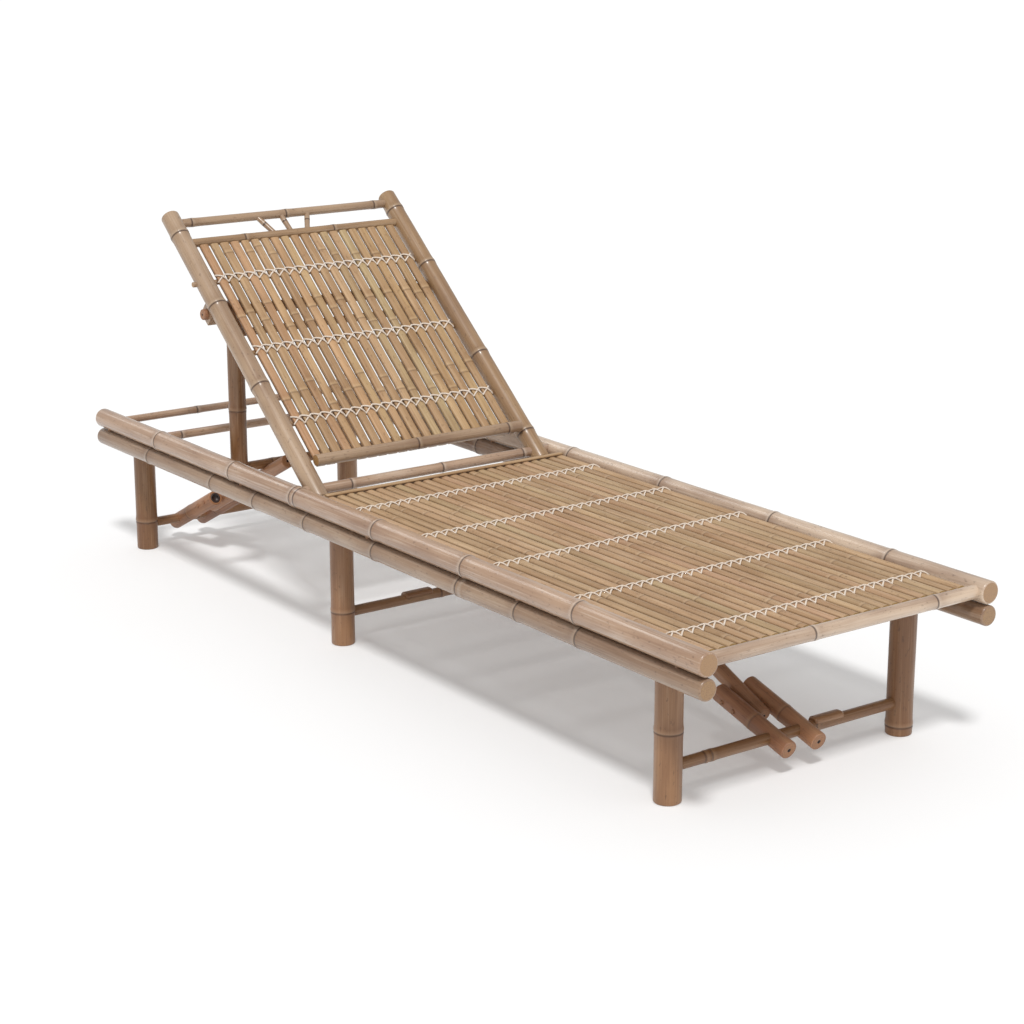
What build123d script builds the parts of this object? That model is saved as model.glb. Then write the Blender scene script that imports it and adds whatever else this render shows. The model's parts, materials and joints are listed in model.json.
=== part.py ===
from build123d import *
from math import asin, atan2, cos, degrees, hypot, radians, sin, sqrt
import os

# Bamboo sun lounger: a long slatted base on three folding leg frames, with a reclining backrest on a prop.
# Frame: X across, +Y from the foot end to the head end, +Z up, floor at Z = 0. Millimetres.

# Clearances
socket_play = 0.1        # round a bar in its socket, radial
running_play = 0.05      # round a pin that turns, radial
seat_gap = 0.3           # between pieces that lie on each other
hook_gap = 0.4           # between a brace or a strut and the bar that it bears on
socket_depth = 12        # how far a bar goes into the pole that carries it

# Bamboo joint rings
ring_rise = 1.0
ring_half = 5.0

# Side rails
base_length = 2000
rail_x = 304
top_rail_r = 20
top_rail_z = 279
lower_rail_r = 18
rail_gap = 2
lower_rail_z = top_rail_z - top_rail_r - rail_gap - lower_rail_r
rail_edge = 3            # rounded edge of the cut ends

# Joint rings of the four rails, from the foot end
top_left_joints = (310, 622, 900, 1178, 1420, 1730)
top_right_joints = (225, 520, 830, 1120, 1400, 1700)
lower_left_joints = (305, 470, 630, 905, 1140, 1330, 1500, 1770)
lower_right_joints = (260, 560, 840, 1150, 1440, 1745)

# Dowels between the stacked rails
dowel_r = 5
dowel_foot_insets = (70, 480, 940)               # from the foot end
dowel_head_insets = (600, 310, 30)               # from the head end
dowel_bite = 14          # length inside the top rail

# Cross bars of the base
foot_bar_r = 12
foot_bar_inset = 20      # rail end to bar axis
foot_bar_joints = (218, 487)                     # from the left end
seat_bar_r = 8
seat_bar_z = 273
seat_bar_inset = 125     # first bar, from the foot end
seat_bar_rear_gap = 178  # last bar to the hinge axis
seat_bar_shares = (0, 0.26, 0.513, 0.757, 1)     # between the first and the last
head_bar_r = 8
head_bar_insets = (241, 51)                      # from the head end
brace_bar_r = 11
brace_bar_run = 408      # from the legs to the bar that their brace hooks under

# Seat slats
slat_count = 26
slat_gap = 4.2           # between slats
slat_side_gap = 4.3      # outer slats to the rails' joint rings
slat_height = 7.5
slat_end_gap = 2         # foot bar to slat ends
slat_rear_gap = 52       # slat rear ends to the hinge axis
strip_width = 13
strip_height = 4
strip_inset = 14         # slat rear ends to strip axis

# Lashing: crossed cord over each slat
cord_width = 4
cord_height = 1.6
stitch_length = 25

# Backrest
hinge_inset = 808        # from the head end
hinge_z = 285
hinge_r = 10
back_angle = 40
back_rail_gap = 1        # between the rings of the backrest rails and of the side rails
back_rail_r = 19
back_rail_length = 712   # from the hinge axis
back_rail_tail = 26      # past the hinge axis
back_rail_joint_insets = (457, 206, 57)          # from the upper end
back_bar_r = 5.5
back_bar_shares = (0.2, 0.516, 0.842)            # of the slats, from their lower ends
back_bar_proud = 6       # how far the highest bar sticks out of the rails
back_slat_count = 20
back_slat_gap = 6.4
back_slat_side_gap = 9.2
back_slat_start = 48     # from the hinge axis, behind the bottom bar
top_bar_r = 9
top_bar_inset = 22       # from the upper end of the rails
second_bar_inset = 77
bottom_bar_r = 11.5
bottom_bar_place = 53
stick_r = 6
stick_places = ((-50, -69), (-10, -13), (29, 50))   # X at the second bar and at the top bar

# Prop behind the backrest
prop_axle_inset = 237    # from the upper end of the rails
prop_axle_r = 11
prop_axle_proud = 2      # how far it sticks out of the rails
strut_inset = 52         # backrest rail axis to strut axis
strut_r = 17.5
strut_head = 20          # past the axle
strut_joint = 205        # below the axle
spreader_r = 8
spreader_drop = 46       # below the axle
prop_peg_r = 3
prop_bar_r = 10
prop_bar_z = 234
prop_lap = 4.5           # strut side to prop bar axis
block_half_width = 11    # bearing block, across
block_half_length = 17   # along the rail
block_wall = 4           # behind the axle

# Leg frames
leg_r = 23
leg_side_gap = 4.5       # between the rings of the legs and of the lower rails
leg_head = 16            # past the axle
leg_joints = {"foot": (119, 16), "middle": (64, 95), "head": (60, 130)}   # left and right, above the floor
foot_leg_place = 146
middle_leg_lead = 83     # before the hinge axis
head_leg_inset = 91      # from the head end
leg_axle_r = 9
stretcher_r = 10
stretcher_heights = {"foot": 58, "middle": 60, "head": 54}
keeper_length = 64
keeper_width = 24
keeper_wall = 5          # above the stretcher
keeper_lip = 5           # stretcher axis to the lower edges
keeper_edge = 1.5        # rounded upper edges
keeper_gap = 3           # fork to keeper

# Braces
fork_r = 16
fork_lap_gap = 3         # each side of the arm
fork_tail = 40           # past the stretcher
fork_reach = 141         # beyond the stretcher
head_fork_reach = 167
fork_joint = 45
brace_knee = 7.5         # degrees that an arm leans beyond its fork
head_brace_knee = 0.5
arm_r = 14
arm_lap = 81             # arm inside the fork, from the upper end of the fork
arm_tip = 22             # past the bar that it hooks under
head_arm_tip = 90
hook_depth = 4           # depth of the saddle in the arm
brace_peg_r = 4
brace_peg_insets = (56, 26)                      # from the upper end of the fork
brace_peg_proud = 3
foot_brace_x = 0
middle_brace_x = 116
head_brace_x = -135
middle_keeper_x = -87

foot_end = -base_length / 2
sides = {"left": -1, "right": 1}
seat_top = seat_bar_z + seat_bar_r
foot_bar_y = foot_end + foot_bar_inset
hinge_place = base_length - hinge_inset
middle_leg_place = hinge_place - middle_leg_lead
head_leg_place = base_length - head_leg_inset
seat_bar_span = hinge_place - seat_bar_rear_gap - seat_bar_inset
seat_bar_places = [seat_bar_inset + share * seat_bar_span for share in seat_bar_shares]
head_bar_places = [base_length - inset for inset in head_bar_insets]
dowel_places = [*dowel_foot_insets, *(base_length - inset for inset in dowel_head_insets)]
top_bar_place = back_rail_length - top_bar_inset
second_bar_place = back_rail_length - second_bar_inset
prop_axle_place = back_rail_length - prop_axle_inset
back_slat_end = second_bar_place - top_bar_r - slat_end_gap
back_slat_length = back_slat_end - back_slat_start
back_bar_places = [back_slat_start + share * back_slat_length for share in back_bar_shares]
foot_brace_bar_y = foot_end + foot_leg_place + brace_bar_run
middle_brace_bar_y = foot_end + middle_leg_place - brace_bar_run
hinge_y = foot_end + hinge_place
slat_rear_y = hinge_y - slat_rear_gap
mat_width = 2 * (rail_x - top_rail_r - ring_rise - slat_side_gap)
slat_width = (mat_width - (slat_count - 1) * slat_gap) / slat_count
slat_pitch = slat_width + slat_gap
back_rail_x = rail_x - top_rail_r - back_rail_r - 2 * ring_rise - back_rail_gap
back_mat_width = 2 * (back_rail_x - back_rail_r - ring_rise - back_slat_side_gap)
back_slat_width = (back_mat_width - (back_slat_count - 1) * back_slat_gap) / back_slat_count
back_slat_pitch = back_slat_width + back_slat_gap
strut_x = back_rail_x - strut_inset
prop_axle_half = back_rail_x + back_rail_r + prop_axle_proud
leg_x = rail_x - lower_rail_r - leg_r - 2 * ring_rise - leg_side_gap
fork_spread = 2 * (fork_r + arm_r + fork_lap_gap)
base_width = 2 * (rail_x + top_rail_r)
top_rail_socket = rail_x - top_rail_r + socket_depth
lower_rail_socket = rail_x - lower_rail_r + socket_depth
back_rail_socket = back_rail_x - back_rail_r + socket_depth

# Backrest frame: X across, Y up along the rails from the hinge, Z out of the front face
tilt = radians(back_angle)
back = Plane(origin=(0, hinge_y, hinge_z), x_dir=(1, 0, 0), z_dir=(0, -sin(tilt), cos(tilt)))
back_seat = 0.0                                   # back of the slats, on the rails' axis plane
back_bar_n = back_seat - seat_gap - back_bar_r
prop_axle_n = -(back_rail_r + ring_rise + prop_axle_r)
axle_point = back.from_local_coords(Vector(0, prop_axle_place, prop_axle_n))
prop_bar_y = axle_point.Y + strut_r + prop_lap
strut_foot_z = prop_bar_z + sqrt(prop_bar_r**2 - prop_lap**2) + hook_gap

os.makedirs("parts", exist_ok=True)


def keep(piece, name):
    """Label a finished piece and write it."""
    piece.part.label = name
    export_step(piece.part, f"parts/{name}.step")


def cane(start, end, radius, joints=()):
    """Add a bamboo pole from start to end, with a raised ring at each distance in joints."""
    start = Vector(*start)
    run = Vector(*end) - start
    along = run.normalized()
    other = Vector(1, 0, 0) if abs(along.X) < 0.5 else Vector(0, 0, 1)
    side = other.cross(along).normalized()
    half_plane = Plane(origin=start, x_dir=side, z_dir=side.cross(along))
    outline = [(0, 0), (radius, 0)]
    for place in joints:
        outline.append((radius, place - ring_half))
        outline.append((radius + ring_rise, place))
        outline.append((radius, place + ring_half))
    outline.append((radius, run.length))
    outline.append((0, run.length))
    with BuildSketch(half_plane) as half_section:
        with BuildLine():
            Polyline(*outline, close=True)
        make_face()
    revolve(half_section.sketch, axis=Axis(start, along))


def cross_bore(point, radius, length):
    """Cut a hole along X, centred on point."""
    with Locations(point):
        Cylinder(radius, length, rotation=(0, 90, 0), mode=Mode.SUBTRACT)


def on_back(x, place, height):
    """A point of the backrest, as a plain tuple."""
    return tuple(back.from_local_coords(Vector(x, place, height)))


def split_cane(width, height):
    """End view of a split cane: flat below, round above."""
    with BuildSketch() as end_view:
        with BuildLine():
            Line((-width / 2, 0), (width / 2, 0))
            Line((width / 2, 0), (width / 2, height / 3))
            ThreePointArc((width / 2, height / 3), (0, height), (-width / 2, height / 3))
            Line((-width / 2, height / 3), (-width / 2, 0))
        make_face()
    return end_view.sketch


def crossed_stitches(count, pitch):
    """One row of lashing, flat: a cord cross over each slat, each meeting the next."""
    stitch_angle = degrees(atan2(stitch_length, pitch))
    stitch_run = hypot(stitch_length, pitch)
    with BuildSketch() as row:
        with GridLocations(pitch, 0, count, 1):
            Rectangle(stitch_run, cord_width, rotation=stitch_angle)
            Rectangle(stitch_run, cord_width, rotation=-stitch_angle)
    return row.sketch


# Side rails, with sockets for every bar that they carry
top_sockets = [(foot_bar_y, top_rail_z, foot_bar_r), (hinge_y, hinge_z, hinge_r)]
top_sockets += [(foot_end + place, seat_bar_z, seat_bar_r) for place in seat_bar_places]
top_sockets += [(foot_end + place, top_rail_z, head_bar_r) for place in head_bar_places]
lower_sockets = [(y, lower_rail_z, brace_bar_r) for y in (foot_brace_bar_y, middle_brace_bar_y)]
lower_sockets.append((prop_bar_y, prop_bar_z, prop_bar_r))
for place in (foot_leg_place, middle_leg_place, head_leg_place):
    lower_sockets.append((foot_end + place, lower_rail_z, leg_axle_r))
dowel_top = top_rail_z - top_rail_r + dowel_bite
dowel_bottom = lower_rail_z - lower_rail_r + ring_rise


def side_rail(name, side, rail_r, rail_z, joints, sockets, socket_end):
    """One full-length rail pole with its sockets and dowel holes."""
    with BuildPart() as rail:
        cane((side * rail_x, foot_end, rail_z), (side * rail_x, -foot_end, rail_z), rail_r, joints)
        fillet(rail.edges().filter_by(GeomType.CIRCLE).group_by(Axis.Y)[0], rail_edge)
        fillet(rail.edges().filter_by(GeomType.CIRCLE).group_by(Axis.Y)[-1], rail_edge)
        for y, z, bar_r in sockets:
            cross_bore((side * (socket_end - base_width / 2), y, z), bar_r + socket_play, base_width)
        for place in dowel_places:
            with Locations((side * rail_x, foot_end + place, (dowel_top + dowel_bottom) / 2)):
                Cylinder(dowel_r + socket_play, dowel_top - dowel_bottom, mode=Mode.SUBTRACT)
    keep(rail, name)


side_rail("top_rail_left", -1, top_rail_r, top_rail_z, top_left_joints, top_sockets, top_rail_socket)
side_rail("top_rail_right", 1, top_rail_r, top_rail_z, top_right_joints, top_sockets, top_rail_socket)
side_rail("lower_rail_left", -1, lower_rail_r, lower_rail_z, lower_left_joints, lower_sockets,
          lower_rail_socket)
side_rail("lower_rail_right", 1, lower_rail_r, lower_rail_z, lower_right_joints, lower_sockets,
          lower_rail_socket)

with BuildPart() as rail_dowels:
    for side in sides.values():
        for place in dowel_places:
            with Locations((side * rail_x, foot_end + place, (dowel_top + dowel_bottom) / 2)):
                Cylinder(dowel_r, dowel_top - dowel_bottom - 2 * socket_play)
keep(rail_dowels, "rail_dowels")


def cross_bar(name, y, z, bar_r, socket_end, joints=()):
    """A straight bar across the base, held in a socket at each end."""
    half = socket_end - socket_play
    with BuildPart() as bar:
        cane((-half, y, z), (half, y, z), bar_r, joints)
    keep(bar, name)


cross_bar("foot_bar", foot_bar_y, top_rail_z, foot_bar_r, top_rail_socket, foot_bar_joints)
for number, place in enumerate(seat_bar_places, start=1):
    cross_bar(f"seat_bar_{number}", foot_end + place, seat_bar_z, seat_bar_r, top_rail_socket)
cross_bar("hinge_pole", hinge_y, hinge_z, hinge_r, top_rail_socket)
for number, place in enumerate(head_bar_places, start=1):
    cross_bar(f"head_bar_{number}", foot_end + place, top_rail_z, head_bar_r, top_rail_socket)
cross_bar("foot_brace_bar", foot_brace_bar_y, lower_rail_z, brace_bar_r, lower_rail_socket)
cross_bar("middle_brace_bar", middle_brace_bar_y, lower_rail_z, brace_bar_r, lower_rail_socket)
cross_bar("prop_bar", prop_bar_y, prop_bar_z, prop_bar_r, lower_rail_socket)

# Seat
slat_front_y = foot_bar_y + foot_bar_r + slat_end_gap
slat_seat_z = seat_top + seat_gap
with BuildPart() as seat_slats:
    with BuildSketch(Plane(origin=(0, slat_front_y, slat_seat_z), x_dir=(-1, 0, 0), z_dir=(0, 1, 0))):
        with GridLocations(slat_pitch, 0, slat_count, 1):
            add(split_cane(slat_width, slat_height))
    extrude(amount=slat_rear_y - slat_front_y)
keep(seat_slats, "seat_slats")

slat_top_z = slat_seat_z + slat_height
with BuildPart() as rear_strip:
    with Locations((0, slat_rear_y - strip_inset, slat_top_z + seat_gap + strip_height / 2)):
        Box(mat_width, strip_width, strip_height)
    fillet(rear_strip.edges().filter_by(Axis.X).group_by(Axis.Z)[-1], strip_height / 3)
keep(rear_strip, "rear_strip")

with BuildPart() as seat_lashings:
    for place in seat_bar_places:
        with BuildSketch(Plane(origin=(0, foot_end + place, slat_top_z + seat_gap))):
            add(crossed_stitches(slat_count, slat_pitch))
        extrude(amount=cord_height)
keep(seat_lashings, "seat_lashings")

# Backrest
back_bar_ends = [back_rail_socket] * (len(back_bar_places) - 1) + [back_rail_x + back_rail_r + back_bar_proud]
frame_sockets = [(place, back_bar_n, back_bar_r, end) for place, end in zip(back_bar_places, back_bar_ends)]
frame_sockets.append((top_bar_place, 0, top_bar_r, back_rail_socket))
frame_sockets.append((second_bar_place, 0, top_bar_r, back_rail_socket))

for name, side in sides.items():
    with BuildPart() as back_rail:
        joints = [back_rail_tail + back_rail_length - inset for inset in back_rail_joint_insets]
        cane(on_back(side * back_rail_x, -back_rail_tail, 0),
             on_back(side * back_rail_x, back_rail_length, 0), back_rail_r, joints)
        fillet(back_rail.edges().filter_by(GeomType.CIRCLE).sort_by(Axis.Z)[-1], rail_edge)
        fillet(back_rail.edges().filter_by(GeomType.CIRCLE).sort_by(Axis.Z)[0], rail_edge)
        cross_bore(on_back(side * back_rail_x, 0, 0), hinge_r + running_play, 4 * back_rail_r)
        for place, height, bar_r, end in frame_sockets:
            cross_bore(on_back(side * (end - base_width / 2), place, height), bar_r + socket_play, base_width)
    keep(back_rail, f"back_rail_{name}")


def back_bar(name, place, height, bar_r, end, joints=()):
    """A straight bar across the backrest."""
    with BuildPart() as bar:
        cane(on_back(-end + socket_play, place, height), on_back(end - socket_play, place, height),
             bar_r, joints)
    keep(bar, name)


for number, (place, height, bar_r, end) in enumerate(frame_sockets[:len(back_bar_places)], start=1):
    back_bar(f"back_bar_{number}", place, height, bar_r, end)

with BuildPart() as back_slats:
    slat_foot = Plane(origin=on_back(0, back_slat_start, back_seat), x_dir=(-1, 0, 0), z_dir=back.y_dir)
    with BuildSketch(slat_foot):
        with GridLocations(back_slat_pitch, 0, back_slat_count, 1):
            add(split_cane(back_slat_width, slat_height))
    extrude(amount=back_slat_length)
keep(back_slats, "back_slats")

back_slat_top = back_seat + slat_height
with BuildPart() as back_lashings:
    for place in back_bar_places:
        lashing_plane = Plane(origin=on_back(0, place, back_slat_top + seat_gap), x_dir=(1, 0, 0),
                              z_dir=back.z_dir)
        with BuildSketch(lashing_plane):
            add(crossed_stitches(back_slat_count, back_slat_pitch))
        extrude(amount=cord_height)
keep(back_lashings, "back_lashings")

# Top and second bars, each with shallow sockets for the sticks between them
stick_bite = top_bar_r / 2


def stick_ends(foot_x, head_x):
    """Axis points of one decorative stick, inside the two bars."""
    return (on_back(foot_x, second_bar_place + top_bar_r - stick_bite, 0),
            on_back(head_x, top_bar_place - top_bar_r + stick_bite, 0))


for name, place in (("back_top_bar", top_bar_place), ("back_second_bar", second_bar_place)):
    with BuildPart() as frame_bar:
        end = back_rail_socket - socket_play
        cane(on_back(-end, place, 0), on_back(end, place, 0), top_bar_r)
        for foot_x, head_x in stick_places:
            start, finish = (Vector(*point) for point in stick_ends(foot_x, head_x))
            lean = Plane(origin=(start + finish) / 2, z_dir=finish - start)
            with Locations(lean):
                Cylinder(stick_r + socket_play, (finish - start).length + 2 * socket_play, mode=Mode.SUBTRACT)
    keep(frame_bar, name)

with BuildPart() as back_sticks:
    for foot_x, head_x in stick_places:
        start, finish = stick_ends(foot_x, head_x)
        cane(start, finish, stick_r)
keep(back_sticks, "back_sticks")

back_bar("back_bottom_bar", bottom_bar_place, back_slat_top + seat_gap + bottom_bar_r, bottom_bar_r,
         back_rail_x - back_rail_r - ring_rise)

with BuildPart() as axle_blocks:
    block_back = prop_axle_n - prop_axle_r - block_wall
    block_front = -back_rail_r / 2
    for side in sides.values():
        block_centre = on_back(side * back_rail_x, prop_axle_place, (block_back + block_front) / 2)
        with Locations(Plane(origin=block_centre, x_dir=(1, 0, 0), z_dir=back.z_dir)):
            Box(2 * block_half_width, 2 * block_half_length, block_front - block_back)
        rail_middle = on_back(side * back_rail_x, prop_axle_place, 0)
        with Locations(Plane(origin=rail_middle, x_dir=(1, 0, 0), z_dir=back.y_dir)):
            Cylinder(back_rail_r + socket_play, 4 * block_half_length, mode=Mode.SUBTRACT)
        cross_bore(on_back(side * back_rail_x, prop_axle_place, prop_axle_n), prop_axle_r + running_play,
                   4 * block_half_width)
keep(axle_blocks, "axle_blocks")

# Prop: struts fixed on an axle that turns in the blocks
axle_y = axle_point.Y
axle_z = axle_point.Z
spreader_z = axle_z - spreader_drop
strut_socket = strut_x - strut_r + socket_depth
peg_length = 2 * strut_r

with BuildPart() as prop_axle:
    cane((-prop_axle_half, axle_y, axle_z), (prop_axle_half, axle_y, axle_z), prop_axle_r)
    for side in sides.values():
        with Locations((side * strut_x, axle_y, axle_z)):
            Cylinder(prop_peg_r + socket_play, peg_length, rotation=(90, 0, 0), mode=Mode.SUBTRACT)
keep(prop_axle, "prop_axle")

for name, side in sides.items():
    with BuildPart() as prop_strut:
        cane((side * strut_x, axle_y, strut_foot_z), (side * strut_x, axle_y, axle_z + strut_head), strut_r,
             [axle_z - strut_joint - strut_foot_z])
        cross_bore((side * strut_x, axle_y, axle_z), prop_axle_r + socket_play, 4 * strut_r)
        cross_bore((side * (strut_socket - base_width / 2), axle_y, spreader_z), spreader_r + socket_play,
                   base_width)
        with Locations((side * strut_x, axle_y, axle_z)):
            Cylinder(prop_peg_r + socket_play, 4 * strut_r, rotation=(90, 0, 0), mode=Mode.SUBTRACT)
    keep(prop_strut, f"prop_strut_{name}")

cross_bar("prop_spreader", axle_y, spreader_z, spreader_r, strut_socket)

with BuildPart() as prop_pegs:
    for side in sides.values():
        with Locations((side * strut_x, axle_y, axle_z)):
            Cylinder(prop_peg_r, peg_length, rotation=(90, 0, 0))
keep(prop_pegs, "prop_pegs")


# Leg frames and their braces
def leg_frame(name, place, keeper_x=None):
    """Axle, two legs and a stretcher, and a saddled keeper plate on the stretcher where there is one."""
    y = foot_end + place
    cross_bar(f"{name}_leg_axle", y, lower_rail_z, leg_axle_r, lower_rail_socket)
    stretcher_socket = leg_x - leg_r + socket_depth
    stretcher_z = stretcher_heights[name]
    for (side_name, side), joint in zip(sides.items(), leg_joints[name]):
        with BuildPart() as leg:
            cane((side * leg_x, y, 0), (side * leg_x, y, lower_rail_z + leg_head), leg_r, [joint])
            fillet(leg.edges().filter_by(GeomType.CIRCLE).sort_by(Axis.Z)[0], rail_edge)
            cross_bore((side * leg_x, y, lower_rail_z), leg_axle_r + running_play, 4 * leg_r)
            stretcher_bore = (side * (stretcher_socket - base_width / 2), y, stretcher_z)
            cross_bore(stretcher_bore, stretcher_r + socket_play, base_width)
        keep(leg, f"{name}_leg_{side_name}")
    cross_bar(f"{name}_stretcher", y, stretcher_z, stretcher_r, stretcher_socket)
    if keeper_x is not None:
        keeper_top = stretcher_r + seat_gap + keeper_wall
        with BuildPart() as keeper:
            with Locations((keeper_x, y, stretcher_z + (keeper_top + keeper_lip) / 2)):
                Box(keeper_length, keeper_width, keeper_top - keeper_lip)
            fillet(keeper.edges().group_by(Axis.Z)[-1], keeper_edge)
            cross_bore((keeper_x, y, stretcher_z), stretcher_r + seat_gap, 2 * keeper_length)
        keep(keeper, f"{name}_keeper")


def brace(name, place, brace_x, towards, bar, fork_end, knee, tip):
    """A fork that turns on the stretcher, and an arm lapped in it that hooks under a bar (Y, Z, radius)."""
    y = foot_end + place
    bar_y, bar_z, bar_r = bar
    stretcher_z = stretcher_heights[name]
    peg_places = [fork_end - inset for inset in brace_peg_insets]
    run = towards * (bar_y - y)
    rise = bar_z - stretcher_z
    reach = hypot(run, rise)
    bar_offset = bar_r + arm_r - hook_depth
    knee_place = sum(peg_places) / len(peg_places)
    knee_offset = knee_place * sin(radians(knee))
    arm_lean = atan2(rise, run) - asin((bar_offset - knee_offset) / reach)
    lean = arm_lean - radians(knee)
    knee_run = knee_place * cos(lean)
    knee_rise = knee_place * sin(lean)
    bar_from_knee = (run - knee_run) * cos(arm_lean) + (rise - knee_rise) * sin(arm_lean)

    def along(x, distance):
        """A point at this distance up the fork from the stretcher."""
        return (brace_x + x, y + towards * distance * cos(lean), stretcher_z + distance * sin(lean))

    def along_arm(distance):
        """A point of the arm's axis at this distance up from the knee."""
        arm_run = knee_run + distance * cos(arm_lean)
        return (brace_x, y + towards * arm_run, stretcher_z + knee_rise + distance * sin(arm_lean))

    peg_plane = [Vector(*along(0, distance)) for distance in peg_places]
    with BuildPart() as fork:
        for x in (-fork_spread / 2, fork_spread / 2):
            cane(along(x, -fork_tail), along(x, fork_end), fork_r, [fork_tail + fork_joint])
        cross_bore((brace_x, y, stretcher_z), stretcher_r + running_play, base_width)
        for point in peg_plane:
            cross_bore(point, brace_peg_r + socket_play, base_width)
    keep(fork, f"{name}_fork")

    with BuildPart() as arm:
        cane(along_arm(fork_end - arm_lap - knee_place), along_arm(bar_from_knee + tip), arm_r)
        cross_bore((brace_x, bar_y, bar_z), bar_r + hook_gap, base_width)
        for point in peg_plane:
            cross_bore(point, brace_peg_r + socket_play, base_width)
    keep(arm, f"{name}_arm")

    with BuildPart() as pegs:
        for point in peg_plane:
            with Locations(point):
                Cylinder(brace_peg_r, fork_spread + 2 * (fork_r + brace_peg_proud), rotation=(0, 90, 0))
    keep(pegs, f"{name}_brace_pegs")
    print(f"{name} fork leans {degrees(lean):.2f} degrees, arm {degrees(arm_lean):.2f} degrees")


keeper_shift = fork_spread / 2 + fork_r + ring_rise + keeper_gap + keeper_length / 2
leg_frame("foot", foot_leg_place, keeper_x=foot_brace_x + keeper_shift)
leg_frame("middle", middle_leg_place, keeper_x=middle_keeper_x)
leg_frame("head", head_leg_place)
foot_brace_bar = (foot_brace_bar_y, lower_rail_z, brace_bar_r)
middle_brace_bar = (middle_brace_bar_y, lower_rail_z, brace_bar_r)
prop_bar = (prop_bar_y, prop_bar_z, prop_bar_r)
brace("foot", foot_leg_place, foot_brace_x, 1, foot_brace_bar, fork_reach, brace_knee, arm_tip)
brace("middle", middle_leg_place, middle_brace_x, -1, middle_brace_bar, fork_reach, brace_knee, arm_tip)
brace("head", head_leg_place, head_brace_x, -1, prop_bar, head_fork_reach, head_brace_knee, head_arm_tip)

print(f"prop axle at Y {axle_y:.2f}, Z {axle_z:.2f}, prop bar at Y {prop_bar_y:.2f}")
print(f"legs at X {leg_x:.2f}, struts at X {strut_x:.2f}, backrest rails at X {back_rail_x:.2f}")
print(f"seat slats {slat_width:.2f} wide, backrest slats {back_slat_width:.2f} wide")
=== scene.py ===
# %% [markdown]
# # A bamboo sun lounger
# The frame of this scene is a finished CAD model: every pole, slat and peg already has its place and its
# joints. This script gives each of them the look of bamboo. It never moves a CAD part: where a plain cylinder
# isn't enough, a new mesh is grown along the same axis and stands for the node.

import json
import math

import bmesh
import bpy
import numpy as np
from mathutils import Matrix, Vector

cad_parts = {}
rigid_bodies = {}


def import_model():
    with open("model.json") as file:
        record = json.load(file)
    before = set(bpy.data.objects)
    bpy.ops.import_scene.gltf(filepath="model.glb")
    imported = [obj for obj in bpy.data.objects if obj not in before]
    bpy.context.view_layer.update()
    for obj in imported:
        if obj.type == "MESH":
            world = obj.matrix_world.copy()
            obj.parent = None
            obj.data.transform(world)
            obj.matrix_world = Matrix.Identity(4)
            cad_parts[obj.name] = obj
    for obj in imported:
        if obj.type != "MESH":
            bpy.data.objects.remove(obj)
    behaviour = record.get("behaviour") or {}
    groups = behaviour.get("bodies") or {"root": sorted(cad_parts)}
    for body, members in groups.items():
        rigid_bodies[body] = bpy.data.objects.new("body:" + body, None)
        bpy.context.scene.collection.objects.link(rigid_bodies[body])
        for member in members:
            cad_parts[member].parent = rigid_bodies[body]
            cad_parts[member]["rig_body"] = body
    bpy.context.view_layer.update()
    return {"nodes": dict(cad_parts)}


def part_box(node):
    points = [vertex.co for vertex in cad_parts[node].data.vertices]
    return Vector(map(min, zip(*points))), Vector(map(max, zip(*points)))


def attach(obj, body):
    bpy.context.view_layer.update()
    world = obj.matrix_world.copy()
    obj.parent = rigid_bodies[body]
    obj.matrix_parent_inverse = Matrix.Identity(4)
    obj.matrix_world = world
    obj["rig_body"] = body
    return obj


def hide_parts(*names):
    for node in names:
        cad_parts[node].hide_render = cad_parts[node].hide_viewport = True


for leftover in list(bpy.data.objects):
    bpy.data.objects.remove(leftover)

MM = 0.001
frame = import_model()
nodes = frame["nodes"]

# %% [markdown]
# ## Camera
# The lounger was photographed from the foot end and a little above, with a long lens, so that its far end
# hardly shrinks. The viewing angle is given as a turn round the object and a height above the horizon, which
# is easier to check than a rotation matrix.

# %% Camera at the photograph's viewing angle
VIEW_TURN = math.radians(-36.0857)
VIEW_RISE = math.radians(15.5552)
VIEW_DISTANCE = 3.2745
VIEW_TARGET = Vector((-0.5971, -0.9039, 0.5428))
VIEW_END = 60
LENS_MM = 81.07

towards_camera = Vector((
    math.sin(VIEW_TURN) * math.cos(VIEW_RISE),
    -math.cos(VIEW_TURN) * math.cos(VIEW_RISE),
    math.sin(VIEW_RISE),
))
camera = bpy.data.objects.new("camera", bpy.data.cameras.new("camera"))
camera.location = VIEW_TARGET + VIEW_DISTANCE * towards_camera
camera.rotation_euler = (-towards_camera).to_track_quat("-Z", "Y").to_euler()
camera.data.lens = LENS_MM
camera.data.clip_end = VIEW_END
bpy.context.scene.collection.objects.link(camera)
bpy.context.scene.camera = camera
print(f"camera at {tuple(round(v, 3) for v in camera.location)}")


# %% [markdown]
# ## Two helpers for node trees
# Geometry and shading are both built from nodes here. One function adds a node with its settings and its
# links, so that a tree reads from top to bottom like a recipe. Colours are written as the sRGB hex values
# that a colour picker shows, and Blender wants linear light, so one function converts them.

# %% Node and colour helpers
def add(tree, kind, inputs=(), **settings):
    """Add one node. Settings are its properties. Inputs are values, sockets or nodes, in order or by name."""
    node = tree.nodes.new(kind)
    for name, value in settings.items():
        setattr(node, name, value)
    for key, value in inputs.items() if isinstance(inputs, dict) else enumerate(inputs):
        if isinstance(value, bpy.types.Node):
            value = next(socket for socket in value.outputs if socket.enabled)
        if isinstance(value, bpy.types.NodeSocket):
            tree.links.new(value, node.inputs[key])
        else:
            node.inputs[key].default_value = value
    return node


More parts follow.
